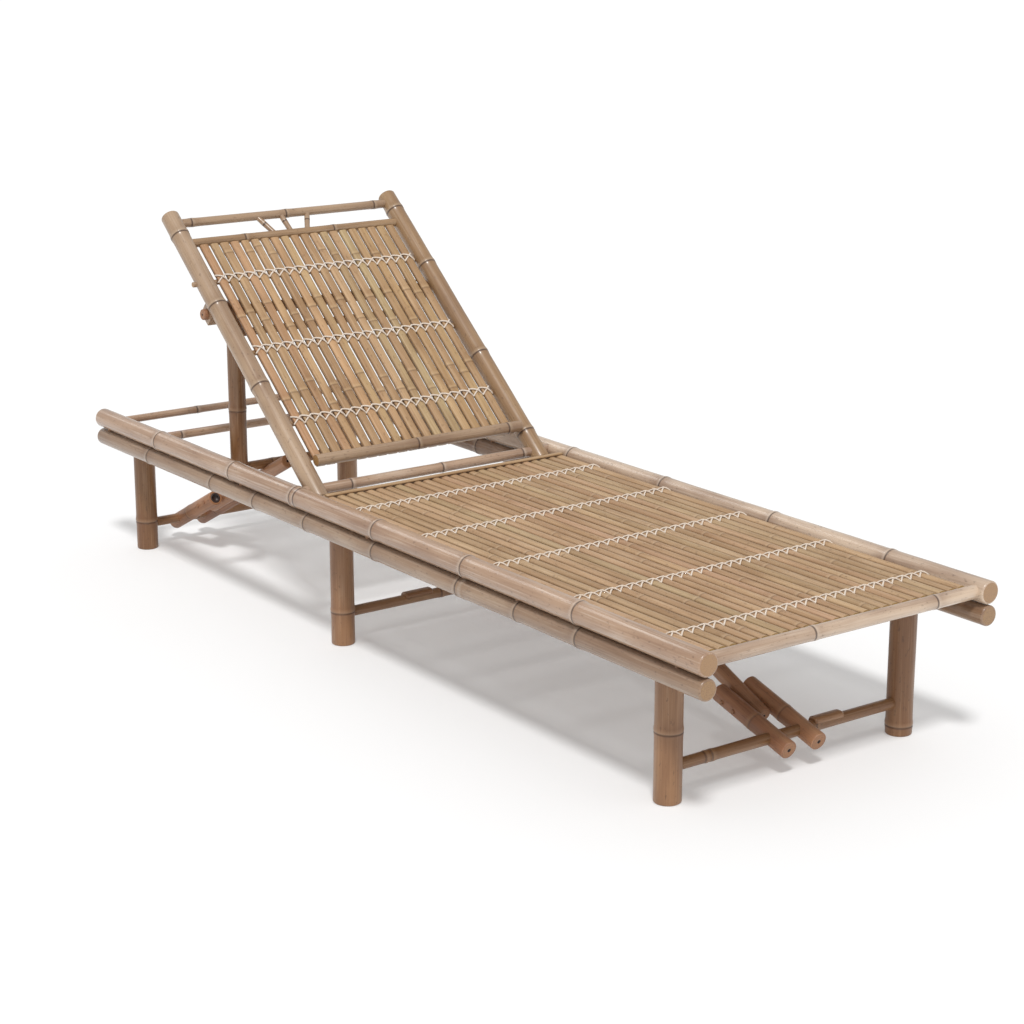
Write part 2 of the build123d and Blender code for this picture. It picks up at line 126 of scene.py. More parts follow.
def linear(hex_colour):
    """An sRGB colour such as "#B39A83" as linear RGBA."""
    channels = [int(hex_colour[i:i + 2], 16) / 255 for i in (1, 3, 5)]
    return (*(c / 12.92 if c <= 0.04045 else ((c + 0.055) / 1.055) ** 2.4 for c in channels), 1.0)


print("a mid tan in linear light:", tuple(round(c, 3) for c in linear("#B39A83")))

# %% [markdown]
# ## Bamboo skin
# A culm is a grass: its skin is hard and waxy, with fibres that run its whole length, stains where it dried,
# and a dark scar at each joint where a leaf sheath sat. Cut ends show the fibre bundles as dots in paler
# wood. A pattern on world coordinates would ignore the direction of each pole, so a grown piece carries
# attributes of its own: culm_co (across, across and along the pole, in metres), scar (distance to the nearest
# joint), above (1 past a joint), run (how far along a slat, from which its joints follow), tint, cap (share
# of the radius), pith (share that is a hole, painted in the dark scar colour as the shade inside the hollow)
# and end_face. All bamboo finishes are one recipe with other colours.

# %% Sizes of the patterns in bamboo
SCAR_HALF = 2.0 * MM         # half width of the dark line at a joint
WAX_BAND = 10 * MM           # paler band past the scar
SMUDGE_HALF = 32 * MM        # soft stain round a joint
GAP_SHADE_FOOT = 1.0 * MM        # painted shade between slats: their sides are darkest up to this height
GAP_SHADE_TOP = 4.5 * MM        # and it fades into the skin up to this one
RELIEF = 0.5 * MM            # depth of the fibres and flecks
RELIEF_STRENGTH = 0.25
SMOOTHER, ROUGHER = 0.07, 0.10               # how far stains shift the roughness each way
STAIN_ACROSS = 30 * MM
STAIN_ALONG = 170 * MM
FLECK = 4.5 * MM
BUNDLE = 1.6 * MM            # fibre bundles on a cut end
GRAIN = {                    # size across and along the fibres, and how many finer levels
    "fibres": (2.6 * MM, 140 * MM, 3.0),     # real ones are finer; this coarse, they show from a step away
    "stains": (STAIN_ACROSS, STAIN_ALONG, 4.0),
    "flecks": (FLECK, 2 * FLECK, 2.0),
    "weather": (3 * STAIN_ACROSS, 3 * STAIN_ALONG, 2.0),
    "bundles": (BUNDLE, 40 * BUNDLE, 1.0),
}
for pattern, (across, along, detail) in GRAIN.items():
    print(f"{pattern}: {across / MM:.1f} mm across and {along / MM:.0f} mm along")


# %% What a bamboo finish reads
def carried_by(tree, spacing, turn):
    """The coordinates of a piece along its fibres, and what it carries at each point. A piece that carries no
    attributes gets its own coordinates, turned, and the values of plain skin."""
    if turn:
        place = add(tree, "ShaderNodeTexCoord").outputs["Object"]
        culm_co = add(tree, "ShaderNodeMapping", {"Vector": place, "Rotation": turn}).outputs[0]
        return culm_co, {"scar": 1.0, "above": 0.0, "tint": 0.5, "cap": 1.0, "end_face": 0.0, "pith": 0.0}
    culm_co = add(tree, "ShaderNodeAttribute", attribute_name="culm_co").outputs["Vector"]
    labels = ["tint", "cap", "end_face", "pith"] + (["run"] if spacing else ["scar", "above"])
    point = {label: add(tree, "ShaderNodeAttribute", attribute_name=label).outputs["Fac"] for label in labels}
    if spacing:
        signed = add(tree, "ShaderNodeMath", (point["run"], spacing / 2, -spacing / 2), operation="WRAP")
        point["scar"] = add(tree, "ShaderNodeMath", (signed,), operation="ABSOLUTE")
        point["above"] = add(tree, "ShaderNodeMath", (signed, 0.0), operation="GREATER_THAN")
    return culm_co, point


def grain_on(tree, culm_co):
    """The patterns of bamboo, laid along these coordinates."""
    grain = {}
    for pattern, (across, along, detail) in GRAIN.items():
        scaled = add(tree, "ShaderNodeMapping", {
            "Vector": culm_co, "Scale": (1 / across, 1 / across, 1 / along)})
        grain[pattern] = add(tree, "ShaderNodeTexNoise", {
            "Vector": scaled, "Scale": 1.0, "Detail": detail}).outputs["Fac"]
    return grain


print("a bamboo finish reads culm_co, tint, cap, end_face, pith, and run or scar and above")


# %% Colours in layers
def lay_over(tree, under, layers):
    """Lay colours over one another. A layer is a pattern, the two values that it fades between, its share at
    each of them and its colour, and may end with a mask that the share is multiplied by."""
    for pattern, (low, high), (share_low, share_high), over, *masks in layers:
        share = add(tree, "ShaderNodeMapRange", {
            "Value": pattern, "From Min": low, "From Max": high, "To Min": share_low, "To Max": share_high})
        for mask in masks:
            share = add(tree, "ShaderNodeMath", (share, mask), operation="MULTIPLY")
        under = add(tree, "ShaderNodeMix", {0: share, 6: under, 7: over}, data_type="RGBA").outputs[2]
    return under


print("a layer is a pattern, what it fades between, its shares, its colour and its masks")


# %% The recipe of all bamboo finishes
def bamboo(name, skins, stain, scar, wax, heart, roughness, coat=0.1, gloss=0.35, spacing=None, turn=None,
           scar_share=0.92, gap_shade_share=0.0):
    """A bamboo finish. Skins are the colours that pieces differ by; spacing is for slats, whose joints
    repeat; turn lays the fibres of a piece without attributes along one of its axes; the shares say how dark
    the joints are and how much painted shade darkens the lower sides of a slat, between its neighbours."""
    material = bpy.data.materials.new(name)
    material.use_nodes = True
    tree = material.node_tree
    tree.nodes.clear()
    stain, scar, wax, heart = (linear(colour) for colour in (stain, scar, wax, heart))
    culm_co, point = carried_by(tree, spacing, turn)
    grain = grain_on(tree, culm_co)

    ramp = add(tree, "ShaderNodeValToRGB", {"Fac": point["tint"]})
    ramp.color_ramp.elements[0].color = linear(skins[0])
    ramp.color_ramp.elements[1].color = linear(skins[-1])
    for number, colour in enumerate(skins[1:-1], start=1):
        ramp.color_ramp.elements.new(number / (len(skins) - 1)).color = linear(colour)
    layers = [
        (grain["weather"], (0.42, 0.70), (0.0, 0.55), stain),
        (grain["stains"], (0.48, 0.75), (0.0, 0.60), stain),
        (grain["stains"], (0.42, 0.22), (0.0, 0.45), wax),
        (grain["fibres"], (0.52, 0.72), (0.0, 0.34), stain),
        (grain["fibres"], (0.46, 0.28), (0.0, 0.30), wax),
        (grain["flecks"], (0.62, 0.74), (0.0, 0.42), scar),
    ]
    if spacing:
        # Painted shade: a slat's sides darken towards its foot, where the gaps between neighbouring slats are
        # shaded.
        height = add(tree, "ShaderNodeSeparateXYZ", (culm_co,)).outputs["Y"]
        layers.append((height, (GAP_SHADE_FOOT, GAP_SHADE_TOP), (gap_shade_share, 0.0), scar))
    layers += [
        (point["scar"], (0.0, SMUDGE_HALF), (0.6, 0.0), stain, grain["stains"]),
        (point["scar"], (SCAR_HALF, WAX_BAND), (0.35, 0.0), wax, point["above"]),
        (point["scar"], (0.5 * SCAR_HALF, 1.4 * SCAR_HALF), (scar_share, 0.0), scar),
    ]
    skin = lay_over(tree, ramp.outputs["Color"], layers)

    wood = lay_over(tree, heart, [
        (grain["bundles"], (0.50, 0.62), (0.0, 0.4), stain),
        (point["cap"], (0.80, 0.90), (0.0, 0.5), stain),
    ])
    # Painted shade: the sunk pith hole takes the dark scar colour, standing in for the shade inside the
    # hollow culm.
    shaded_hollow = add(tree, "ShaderNodeMath", (point["cap"], point["pith"]), operation="LESS_THAN")
    wood = add(tree, "ShaderNodeMix", {0: shaded_hollow, 6: wood, 7: scar}, data_type="RGBA").outputs[2]
    colour = lay_over(tree, skin, [(point["end_face"], (0.4, 0.6), (0.0, 1.0), wood)])

    relief = add(tree, "ShaderNodeMath", (grain["fibres"], grain["flecks"]), operation="ADD")
    bump = add(tree, "ShaderNodeBump", {"Strength": RELIEF_STRENGTH, "Distance": RELIEF, "Height": relief})
    dullness = add(tree, "ShaderNodeMapRange", {
        "Value": grain["stains"], "From Min": 0.25, "From Max": 0.75,
        "To Min": roughness - SMOOTHER, "To Max": roughness + ROUGHER})
    shader = add(tree, "ShaderNodeBsdfPrincipled", {
        "Base Color": colour, "Normal": bump, "IOR": 1.5, "Roughness": dullness,
        "Coat Weight": coat, "Coat Roughness": gloss})
    add(tree, "ShaderNodeOutputMaterial", {"Surface": shader})
    return material


print(f"one recipe with {len(GRAIN)} patterns")

# %% [markdown]
# ## The lounger's own finishes
# The poles are the same plant, dried, smoked and varnished in different ways. The pale rails are scraped
# clean and varnished until they shine, the legs and braces are browned over smoke, and the slats are split
# from culms and left bare. Each could be a tree of its own, but the patterns are the same, so a finish below
# is only its colours, its gloss and the darkness of its joints, with a line on what that gives the eye.

# %% Finishes of the poles
# Scraped and varnished pole bamboo: pale warm tan under a hard clear coat, so that a bright line runs along
# each rail between sharp dark joints.
rail_look = dict(skins=["#AC8B70", "#B89A80", "#C6AC93", "#D2BBA3"], stain="#7E5C45", scar="#422B1C",
                 wax="#DFCFBD", heart="#A07B52", roughness=0.36, coat=0.7, gloss=0.18, scar_share=0.85)
# The same varnish on browner culms: the lower rails shine too, but stay a shade below the upper ones.
low_look = dict(skins=["#96775C", "#A18368", "#987D64"], stain="#6C4D36", scar="#3C281B",
                wax="#BBA995", heart="#98754D", roughness=0.40, coat=0.6, gloss=0.2, scar_share=0.85)
# Varnished pole bamboo with its stains left on: honey to tan, with a softer gloss.
back_look = dict(skins=["#99774E", "#A4876B", "#B0967B"], stain="#7A5B41", scar="#4A301E", wax="#C4AF96",
                 heart="#A98252", roughness=0.42, coat=0.5, gloss=0.22)
# Smoked pole bamboo with a thin varnish: deep brown and half matt, its joints little darker than its skin.
leg_look = dict(skins=["#7D5730", "#946B47", "#A98966"], stain="#6A4328", scar="#3E2415", wax="#B39272",
                heart="#9C7450", roughness=0.45, coat=0.3, gloss=0.3, scar_share=0.6)
# Smoked thin bamboo, oiled more than varnished: reddish brown and dull, so that the braces sit back.
dark_look = dict(skins=["#A77655", "#B2815D", "#99694B"], stain="#5C3D2B", scar="#33201A", wax="#B38D6B",
                 heart="#9A6B46", roughness=0.5, coat=0.2, scar_share=0.35)
rail_skin = bamboo("varnished_rail_bamboo", **rail_look)
low_skin = bamboo("varnished_lower_bamboo", **low_look)
back_skin = bamboo("varnished_back_bamboo", **back_look)
leg_skin = bamboo("smoked_leg_bamboo", **leg_look)
dark_skin = bamboo("smoked_brace_bamboo", **dark_look)
pole_skins = (rail_skin, low_skin, back_skin, leg_skin, dark_skin)
print("pole finishes:", ", ".join(skin.name for skin in pole_skins))

# %% Finishes of split cane and small parts
SEAT_JOINTS = 330 * MM       # typical distance between the joints of a seat slat
BACK_JOINTS = 205 * MM
ALONG_X = (0, math.pi / 2, 0)                # turns that lay the fibres along X, or upwards
UPWARDS = (0, 0, 0.3)
# Cane split and planed, bare: matt straw to pinkish tan, each slat of another tone, with painted shade on
# the lower sides of each slat, so dark that it draws a line between neighbours.
seat_look = dict(skins=["#B09270", "#BB9B74", "#B48F6D", "#BD9F7A", "#A78863", "#BD9676", "#AF9670",
                        "#B89069"],
                 stain="#8B6744", scar="#60442B", wax="#D2B693", heart="#B89A66", roughness=0.5,
                 scar_share=0.4, gap_shade_share=0.8)
# Thinner split cane, less evenly dried: matt, with olive and orange slats that make the backrest streaky,
# and a lighter painted shade on their lower sides between neighbours.
mat_look = dict(skins=["#AE9268", "#BD966D", "#A78661", "#C29F78", "#A18A63", "#BC8865", "#B19A71",
                       "#B68E61"],
                stain="#85623F", scar="#5C3D21", wax="#D2B48A", heart="#B89A66", roughness=0.5,
                scar_share=0.45, gap_shade_share=0.35)
seat_skin = bamboo("split_seat_cane", spacing=SEAT_JOINTS, **seat_look)
mat_skin = bamboo("split_back_cane", spacing=BACK_JOINTS, **mat_look)
# A plate split from a leg's culm: the legs' brown, with its fibres along the stretcher.
keeper_skin = bamboo("split_keeper_bamboo", turn=ALONG_X, **leg_look)
# Blocks carved from thick bamboo: the backrest's honey colour, so that they look part of its rails.
block_skin = bamboo("carved_bamboo_block", turn=UPWARDS, **back_look)
# Whittled dowels and pegs: as dull and brown as the braces, so that they show as dots.
dowel_skin = bamboo("dowel_bamboo", turn=UPWARDS, **dark_look)
cane_skins = (seat_skin, mat_skin, keeper_skin, block_skin, dowel_skin)
print("cane finishes:", ", ".join(skin.name for skin in cane_skins))

# %% [markdown]
# ## A culm that grows along a line
# A bamboo pole is not a plain cylinder: it swells at each joint, where a sharp scar sits below a rounded
# ridge, it wavers a little, and its cut ends have worn edges. Modelling fifty poles by hand would be slow, so
# one Geometry Nodes tree sweeps a circle along a line of stations. Each station carries what the tree needs:
# how far along it is, how far from a joint, how much of the radius is left and how far a pith hole sinks.

# %% Start and end of a geometry tree
def start_tree(name, sockets):
    """A geometry tree with a Geometry input and output and these named inputs, and what it is given."""
    tree = bpy.data.node_groups.new(name, "GeometryNodeTree")
    tree.interface.new_socket("Geometry", in_out="INPUT", socket_type="NodeSocketGeometry")
    for label, kind in sockets.items():
        tree.interface.new_socket(label, in_out="INPUT", socket_type=f"NodeSocket{kind}")
    tree.interface.new_socket("Geometry", in_out="OUTPUT", socket_type="NodeSocketGeometry")
    return tree, add(tree, "NodeGroupInput").outputs


def finish_tree(tree, geometry, material):
    """Make everything real, give it its material and hand it out."""
    geometry = add(tree, "GeometryNodeRealizeInstances", {"Geometry": geometry})
    geometry = add(tree, "GeometryNodeSetMaterial", {"Geometry": geometry, "Material": material})
    add(tree, "NodeGroupOutput", {"Geometry": geometry})


print("a tree starts from named inputs and ends in Realize Instances and Set Material")

# %% A ring to sweep and the profile of a joint
JOINT_REACH = 20 * MM        # how far a joint's swelling goes each way
JOINT_SHAPE = ((0.0, 0.0), (0.28, 0.10), (0.40, 0.35), (0.455, 0.62), (0.475, 0.66), (0.495, 0.16),
               (0.525, 0.30), (0.58, 0.85), (0.64, 0.80), (0.74, 0.32), (0.86, 0.08), (1.0, 0.0))


def marked_ring(tree, sides):
    """A circle of radius 1 to sweep, whose points remember as "around" where on it they were."""
    ring = add(tree, "GeometryNodeCurvePrimitiveCircle", {"Resolution": sides, "Radius": 1.0})
    return add(tree, "GeometryNodeStoreNamedAttribute", {
        "Geometry": ring, "Name": "around", "Value": add(tree, "GeometryNodeInputPosition")},
        data_type="FLOAT_VECTOR")


def joint_ridge(tree, distance):
    """Height of a joint at this signed distance from it, from 0 to 0.85."""
    share = add(tree, "ShaderNodeMapRange", {
        "Value": distance, "From Min": -JOINT_REACH, "From Max": JOINT_REACH})
    ridge = add(tree, "ShaderNodeFloatCurve", {"Value": share})
    points = ridge.mapping.curves[0].points
    points[0].location, points[1].location = JOINT_SHAPE[0], JOINT_SHAPE[-1]
    for place in JOINT_SHAPE[1:-1]:
        points.new(*place)
    ridge.mapping.update()
    return ridge.outputs[0]


print(f"a joint's profile is drawn by {len(JOINT_SHAPE)} points over {2 * JOINT_REACH / MM:.0f} mm")

# %% The culm tree: a line that wavers and swells
WAVER_LENGTH = 130 * MM
CULM, given = start_tree("Bamboo culm", {
    "Radius": "Float", "Joint Rise": "Float", "Waver": "Float", "Sides": "Int", "Seed": "Float",
    "Material": "Material"})
along, cap, joint, sink = (
    add(CULM, "GeometryNodeInputNamedAttribute", {"Name": label}).outputs[0]
    for label in ("along", "cap", "joint", "sink"))
axis, around = (
    add(CULM, "GeometryNodeInputNamedAttribute", {"Name": label}, data_type="FLOAT_VECTOR").outputs[0]
    for label in ("axis", "around"))
spot = add(CULM, "ShaderNodeCombineXYZ", {"X": along, "Y": given["Seed"]})
drift = add(CULM, "ShaderNodeTexNoise", {"Vector": spot, "Scale": 1 / WAVER_LENGTH, "Detail": 1.0})
bend = add(CULM, "ShaderNodeVectorMath", (drift.outputs["Color"], (0.5, 0.5, 0.5)), operation="SUBTRACT")
bend = add(CULM, "ShaderNodeVectorMath", {0: bend, "Scale": given["Waver"]}, operation="SCALE")
line = add(CULM, "GeometryNodeMeshToCurve", {"Mesh": given["Geometry"]})
line = add(CULM, "GeometryNodeSetPosition", {"Geometry": line, "Offset": bend})
tangent = add(CULM, "GeometryNodeInputTangent")
line = add(CULM, "GeometryNodeStoreNamedAttribute", {
    "Geometry": line, "Name": "axis", "Value": tangent}, data_type="FLOAT_VECTOR")
swell = add(CULM, "ShaderNodeMath", (drift.outputs["Fac"], 0.5), operation="SUBTRACT")
swell = add(CULM, "ShaderNodeMath", (swell, given["Waver"], given["Radius"]), operation="MULTIPLY_ADD")
rise = add(CULM, "ShaderNodeMath", (joint_ridge(CULM, joint), given["Joint Rise"]), operation="MULTIPLY")
thick = add(CULM, "ShaderNodeMath", (swell, rise), operation="ADD")
thick = add(CULM, "ShaderNodeMath", (thick, cap), operation="MULTIPLY")
print(f"line and thickness: {len(CULM.nodes)} nodes")

# %% The culm tree: the pole and its fibres
SEED_GAP = 3.0               # metres of fibre between one seed and the next, longer than any pole
pole = add(CULM, "GeometryNodeCurveToMesh", {
    "Curve": line, "Profile Curve": marked_ring(CULM, given["Sides"]), "Scale": thick, "Fill Caps": True})
inwards = add(CULM, "ShaderNodeVectorMath", {0: axis, "Scale": sink}, operation="SCALE")
pole = add(CULM, "GeometryNodeSetPosition", {"Geometry": pole, "Offset": inwards})
width = add(CULM, "ShaderNodeMath", (cap, given["Radius"]), operation="MULTIPLY")
across = add(CULM, "ShaderNodeVectorMath", {0: around, "Scale": width}, operation="SCALE")
onward = add(CULM, "ShaderNodeMath", (given["Seed"], SEED_GAP, along), operation="MULTIPLY_ADD")
onward = add(CULM, "ShaderNodeCombineXYZ", {"Z": onward})
culm_co = add(CULM, "ShaderNodeVectorMath", (across, onward), operation="ADD")
pole = add(CULM, "GeometryNodeStoreNamedAttribute", {
    "Geometry": pole, "Name": "culm_co", "Value": culm_co}, data_type="FLOAT_VECTOR")
pole = add(CULM, "GeometryNodeSetShadeSmooth", {"Geometry": pole})
finish_tree(CULM, pole, given["Material"])
print(f"culm tree with {len(CULM.nodes)} nodes")


# %% Run a tree and keep a plain mesh
def input_names(tree):
    """The identifier of each named input of a tree."""
    return {item.name: item.identifier for item in tree.interface.items_tree if item.in_out == "INPUT"}


def grow(name, tree, mesh, **values):
    """Run a geometry tree on a mesh and keep the result as a plain mesh object at the origin."""
    piece = bpy.data.objects.new(name, mesh)
    bpy.context.scene.collection.objects.link(piece)
    modifier = piece.modifiers.new("grow", "NODES")
    modifier.node_group = tree
    sockets = input_names(tree)
    for label, value in values.items():
        modifier[sockets[label.replace("_", " ").title()]] = value
    depsgraph = bpy.context.evaluated_depsgraph_get()
    plain = bpy.data.meshes.new_from_object(piece.evaluated_get(depsgraph), preserve_all_data_layers=True,
                                            depsgraph=depsgraph)
    piece.modifiers.clear()
    piece.data = plain
    shell = bmesh.new()
    shell.from_mesh(plain)
    bmesh.ops.recalc_face_normals(shell, faces=shell.faces)
    shell.to_mesh(plain)
    shell.free()
    return piece


print("the culm tree asks for", ", ".join(input_names(CULM)))


# %% [markdown]
# The lines come from the frame itself: the vertices of a pole, measured along its direction, give its two
# ends, its axis and its radius. A node of several solids is first parted into them, by joining the corners
# that share a face.

# %% Part a node into its solids
def islands(node):
    """The vertices of each separate solid in a CAD node, ordered by X and then by Y."""
    mesh = nodes[node].data
    keys = [tuple(round(c, 6) for c in vertex.co) for vertex in mesh.vertices]
    leader = {key: key for key in keys}

    def find(key):
        while leader[key] != key:
            leader[key] = leader[leader[key]]
            key = leader[key]
        return key

    for face in mesh.polygons:
        first = find(keys[face.vertices[0]])
        for index in face.vertices[1:]:
            leader[find(keys[index])] = first
    groups = {}
    for key in leader:
        groups.setdefault(find(key), []).append(key)
    return sorted((np.array(group) for group in groups.values()), key=lambda g: tuple(g.mean(0).round(3)))


print(f"back_sticks has {len(islands('back_sticks'))} solids")

# %% Measure a pole
LEANS = np.radians(np.arange(5, 175, 0.05))  # angles to try


def measured_line(corners, direction=None):
    """Start, end and radius of a straight pole from its vertices; with no direction, its longest axis."""
    if direction is None:
        direction = np.linalg.svd(corners - corners.mean(0), full_matrices=False)[2][0]
        direction = direction * (1 if direction[2] > 0 else -1)
    axis = np.array(direction, float) / np.linalg.norm(direction)
    along = corners @ axis
    across = corners - np.outer(along, axis)
    low, high = across.min(0), across.max(0)
    wide = 2 if abs(axis[0]) > 0.9 else 0
    start, end = (Vector((low + high) / 2 + axis * reach) for reach in (along.min(), along.max()))
    return start, end, (high - low)[wide] / 2


def lean_of(node):
    """Direction of a pole that leans in the YZ plane: the one in which it looks thinnest."""
    flat = np.array([vertex.co[1:] for vertex in nodes[node].data.vertices])
    widths = [np.ptp(flat @ (-math.sin(angle), math.cos(angle))) for angle in LEANS]
    best = LEANS[int(np.argmin(widths))]
    return 0, math.cos(best), math.sin(best)


ACROSS, LENGTHWISE, UPRIGHT = (1, 0, 0), (0, 1, 0), (0, 0, 1)
foot_bar_radius = measured_line(islands("foot_bar")[0], ACROSS)[2]
print(f"foot_bar is {2 * foot_bar_radius / MM:.1f} mm thick at its joints")


# %% [markdown]
# Stations stand close together at joints and cut ends, where the shape changes fast, and far apart elsewhere,
# which keeps a two metre rail light. The rings of a flat end lie almost in one plane. A pith hole could be
# cut with a Boolean, which leaves long thin faces, so the innermost rings are sunk along the pole instead.

# %% Lines of stations
JOINT_STEPS = (-20, -14, -10, -7, -5, -3.6, -2.4, -1.6, -1.0, -0.5, 0, 0.5, 1.1, 2, 3.2, 5, 7, 10, 14, 20)
JOINT_CLEAR = 20.5 * MM      # plain stations keep this far from a joint
PLAIN_STEP = 45 * MM
EDGE_STEPS = 5
PITH_DEPTH = 6 * MM
RING_STEP = 0.01 * MM        # rings of a flat end lie this close, so that the line keeps its direction
INSET_RINGS = 10             # room for them, in steps
CENTRE_SHARE = 0.03          # the innermost ring's share of the flat end
FLAT_SHARES = (0.5, 0.8, 1.0)


def end_rings(radius, edge, pith):
    """(along, cap, sink, end_face) of the rings of a cut end, from its centre to its worn edge."""
    flat = 1 - edge / radius
    rings = [(CENTRE_SHARE, PITH_DEPTH), (0.9 * pith, PITH_DEPTH)] if pith else [(CENTRE_SHARE, 0.0)]
    rings += [(share, 0.0) for share in (max(pith, 2 * CENTRE_SHARE), *FLAT_SHARES)]
    rows = [(number * RING_STEP, share * flat, sink, 1.0) for number, (share, sink) in enumerate(rings)]
    for step in range(1, EDGE_STEPS):
        angle = step / EDGE_STEPS * math.pi / 2
        along = len(rings) * RING_STEP + edge * (1 - math.cos(angle))
        rows.append((along, flat + (1 - flat) * math.sin(angle), 0.0, 0.0))
    return rows


def stations(length, joints, radius, edge, pith):
    """The rings of a whole culm, from its start to its end."""
    inset = edge + INSET_RINGS * RING_STEP
    ends = (inset, length - inset)
    places = set(np.linspace(*ends, max(3, round(length / PLAIN_STEP))))
    for joint in joints:
        places = {place for place in places if abs(place - joint) > JOINT_CLEAR or place in ends}
        places.update(joint + step * MM for step in JOINT_STEPS if ends[0] < joint + step * MM < ends[1])
    start = end_rings(radius, edge, pith)
    return (start + [(place, 1.0, 0.0, 0.0) for place in sorted(places)]
            + [(length - along, cap, -sink, face) for along, cap, sink, face in reversed(start)])


print("stations of a 300 mm pole with one joint:", len(stations(0.3, [0.12], 0.02, 0.003, 0.0)))

# %% A mesh of stations
CARRIED = ("along", "joint", "scar", "above", "cap", "sink", "end_face", "pith", "tint")


def station_mesh(name, runs):
    """One line of stations for each run, with the attributes that the culm tree and the finish read."""
    points, lines, rows = [], [], []
    for start, end, radius, joints, edge, pith, tint in runs:
        length = (end - start).length
        first = len(points)
        for along, cap, sink, end_face in stations(length, joints, radius, edge, pith):
            points.append(start + (end - start) * (along / length))
            joint = min((along - place for place in joints), key=abs, default=1.0)
            rows.append((along, joint, abs(joint), float(joint > 0), cap, sink, end_face, pith, tint))
        lines += [(index, index + 1) for index in range(first, len(points) - 1)]
    mesh = bpy.data.meshes.new(name)
    mesh.from_pydata(points, lines, [])
    for column, label in enumerate(CARRIED):
        mesh.attributes.new(label, "FLOAT", "POINT").data.foreach_set("value", [row[column] for row in rows])
    return mesh


print("each station carries", ", ".join(CARRIED))

# %% From a CAD pole to a culm
PIECE_TINT, SOLID_TINT = 0.618, 0.31  # steps that spread the tints of pieces, and of the solids in one piece
grown = []


def dress(piece, node):
    """The piece rides with the node's body and stands for the node, whose CAD part is hidden."""
    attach(piece, nodes[node]["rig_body"])
    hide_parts(node)
    return piece


def culm(node, direction, skin, joints=(), rise=1.0, edge=1.2, pith=0.0, waver=0.5, ring=0.0, sides=28,
         tint=None):
    """Grow bamboo along each pole of a CAD node. Sizes are in mm and joints are measured from the start; ring
    is how far the CAD pole's own joint rings stand out; tint picks from the finish's skins, from 0 to 1."""
    seed = len(grown) + 1
    places = [joint * MM for joint in joints]
    runs = []
    for number, corners in enumerate(islands(node)):
        start, end, radius = measured_line(corners, direction)
        shade = (seed * PIECE_TINT + number * SOLID_TINT) % 1.0 if tint is None else tint
        runs.append((start, end, radius - ring * MM, places, edge * MM, pith, shade))
    piece = grow(f"{node}_culm", CULM, station_mesh(node, runs), radius=runs[0][2], joint_rise=rise * MM,
                 waver=waver * MM, sides=sides, seed=float(seed), material=skin)
    grown.append(dress(piece, node))


print("tints of the first pieces:", ", ".join(f"{seed * PIECE_TINT % 1.0:.2f}" for seed in range(1, 6)))

# %% [markdown]
# ## Side rails
# Two poles on each side, one on the other, run the whole length, and they are the palest and glossiest of
# all. Chance could scatter their joints, but a rail is looked at closely, so each joint stands where the
# photograph shows it, in millimetres from the foot end.

# %% Rails
RAIL_JOINTS = {
    "top_rail_left": (310, 622, 900, 1172, 1186, 1420, 1730),
    "top_rail_right": (225, 520, 830, 1120, 1400, 1700),
    "lower_rail_left": (305, 470, 623, 640, 905, 1140, 1330, 1500, 1770),
    "lower_rail_right": (260, 560, 840, 1150, 1440, 1745),
}
RAIL_TINTS = {"top_rail_left": 0.12, "top_rail_right": 0.95}
for rail, joints in RAIL_JOINTS.items():
    culm(rail, LENGTHWISE, low_skin if rail.startswith("lower") else rail_skin, joints, rise=1.5,
         edge=3.5, ring=1.0, waver=0.9, sides=36, tint=RAIL_TINTS.get(rail))
print("rails:", ", ".join(RAIL_JOINTS))

# %% [markdown]
# ## Bars of the base
# Thin poles join the two sides, and the seat lies on five of them. Copies of one bar would have their joints
# in a row, so a table gives each its own, a hand or two apart as on young bamboo.

# %% Cross bars
BAR_JOINTS = {
    "foot_bar": (218, 487),
    "hinge_pole": (112, 324, 520),
    "head_bar_1": (50, 290, 520),
    "head_bar_2": (190, 430),
    "foot_brace_bar": (150, 420),
    "middle_brace_bar": (90, 360),
    "prop_bar": (175, 430),
}
for number in range(1, 6):
    BAR_JOINTS[f"seat_bar_{number}"] = tuple(range(60 + 37 * number, 560, 210))
for bar, joints in BAR_JOINTS.items():
    culm(bar, ACROSS, leg_skin if bar == "prop_bar" else rail_skin,
         joints, rise=0.9,
         ring=1.0 if bar == "foot_bar" else 0.0, sides=24, tint=0.9 if bar == "foot_bar" else 0.3)
for axle in ("foot_leg_axle", "middle_leg_axle", "head_leg_axle"):
    culm(axle, ACROSS, dark_skin, edge=0.8, waver=0.1, sides=24)
print("bars:", ", ".join(BAR_JOINTS))

# %% [markdown]
# ## Backrest frame
# Two stout rails slope up from the hinge pole, with a bar at the top, a second bar below it and three short
# sticks between them. The slope could be typed in, but it is read from the frame, so that it follows the CAD
# model: it is the direction in which a rail looks thinnest.

# %% Backrest poles
UP_BACK = Vector(lean_of("back_rail_left"))
OUT_OF_BACK = Vector((0, -UP_BACK.z, UP_BACK.y))
BACK_LEAN = math.atan2(UP_BACK.z, UP_BACK.y)
BACK_RAILS = {"back_rail_left": ((281, 491, 681), 0.85), "back_rail_right": ((70, 281, 532, 690), 0.1)}
BACK_BARS = {"back_top_bar": (30, 252, 470), "back_second_bar": (130, 343), "back_bottom_bar": (231, 450)}
for rail, (joints, tint) in BACK_RAILS.items():
    culm(rail, UP_BACK, back_skin, joints, rise=1.5, edge=3.5, ring=1.0, waver=0.9, sides=36,
         tint=tint)
for bar, joints in BACK_BARS.items():
    culm(bar, ACROSS, back_skin, joints, rise=0.9, sides=24)
for number in (1, 2, 3):
    culm(f"back_bar_{number}", ACROSS, back_skin, tuple(range(90 + 40 * number, 480, 190)),
         rise=0.6, sides=20)
culm("back_sticks", None, back_skin, (28,), rise=0.5, edge=0.6, waver=0.2, sides=20)
print(f"backrest leans at {math.degrees(BACK_LEAN):.2f} degrees")
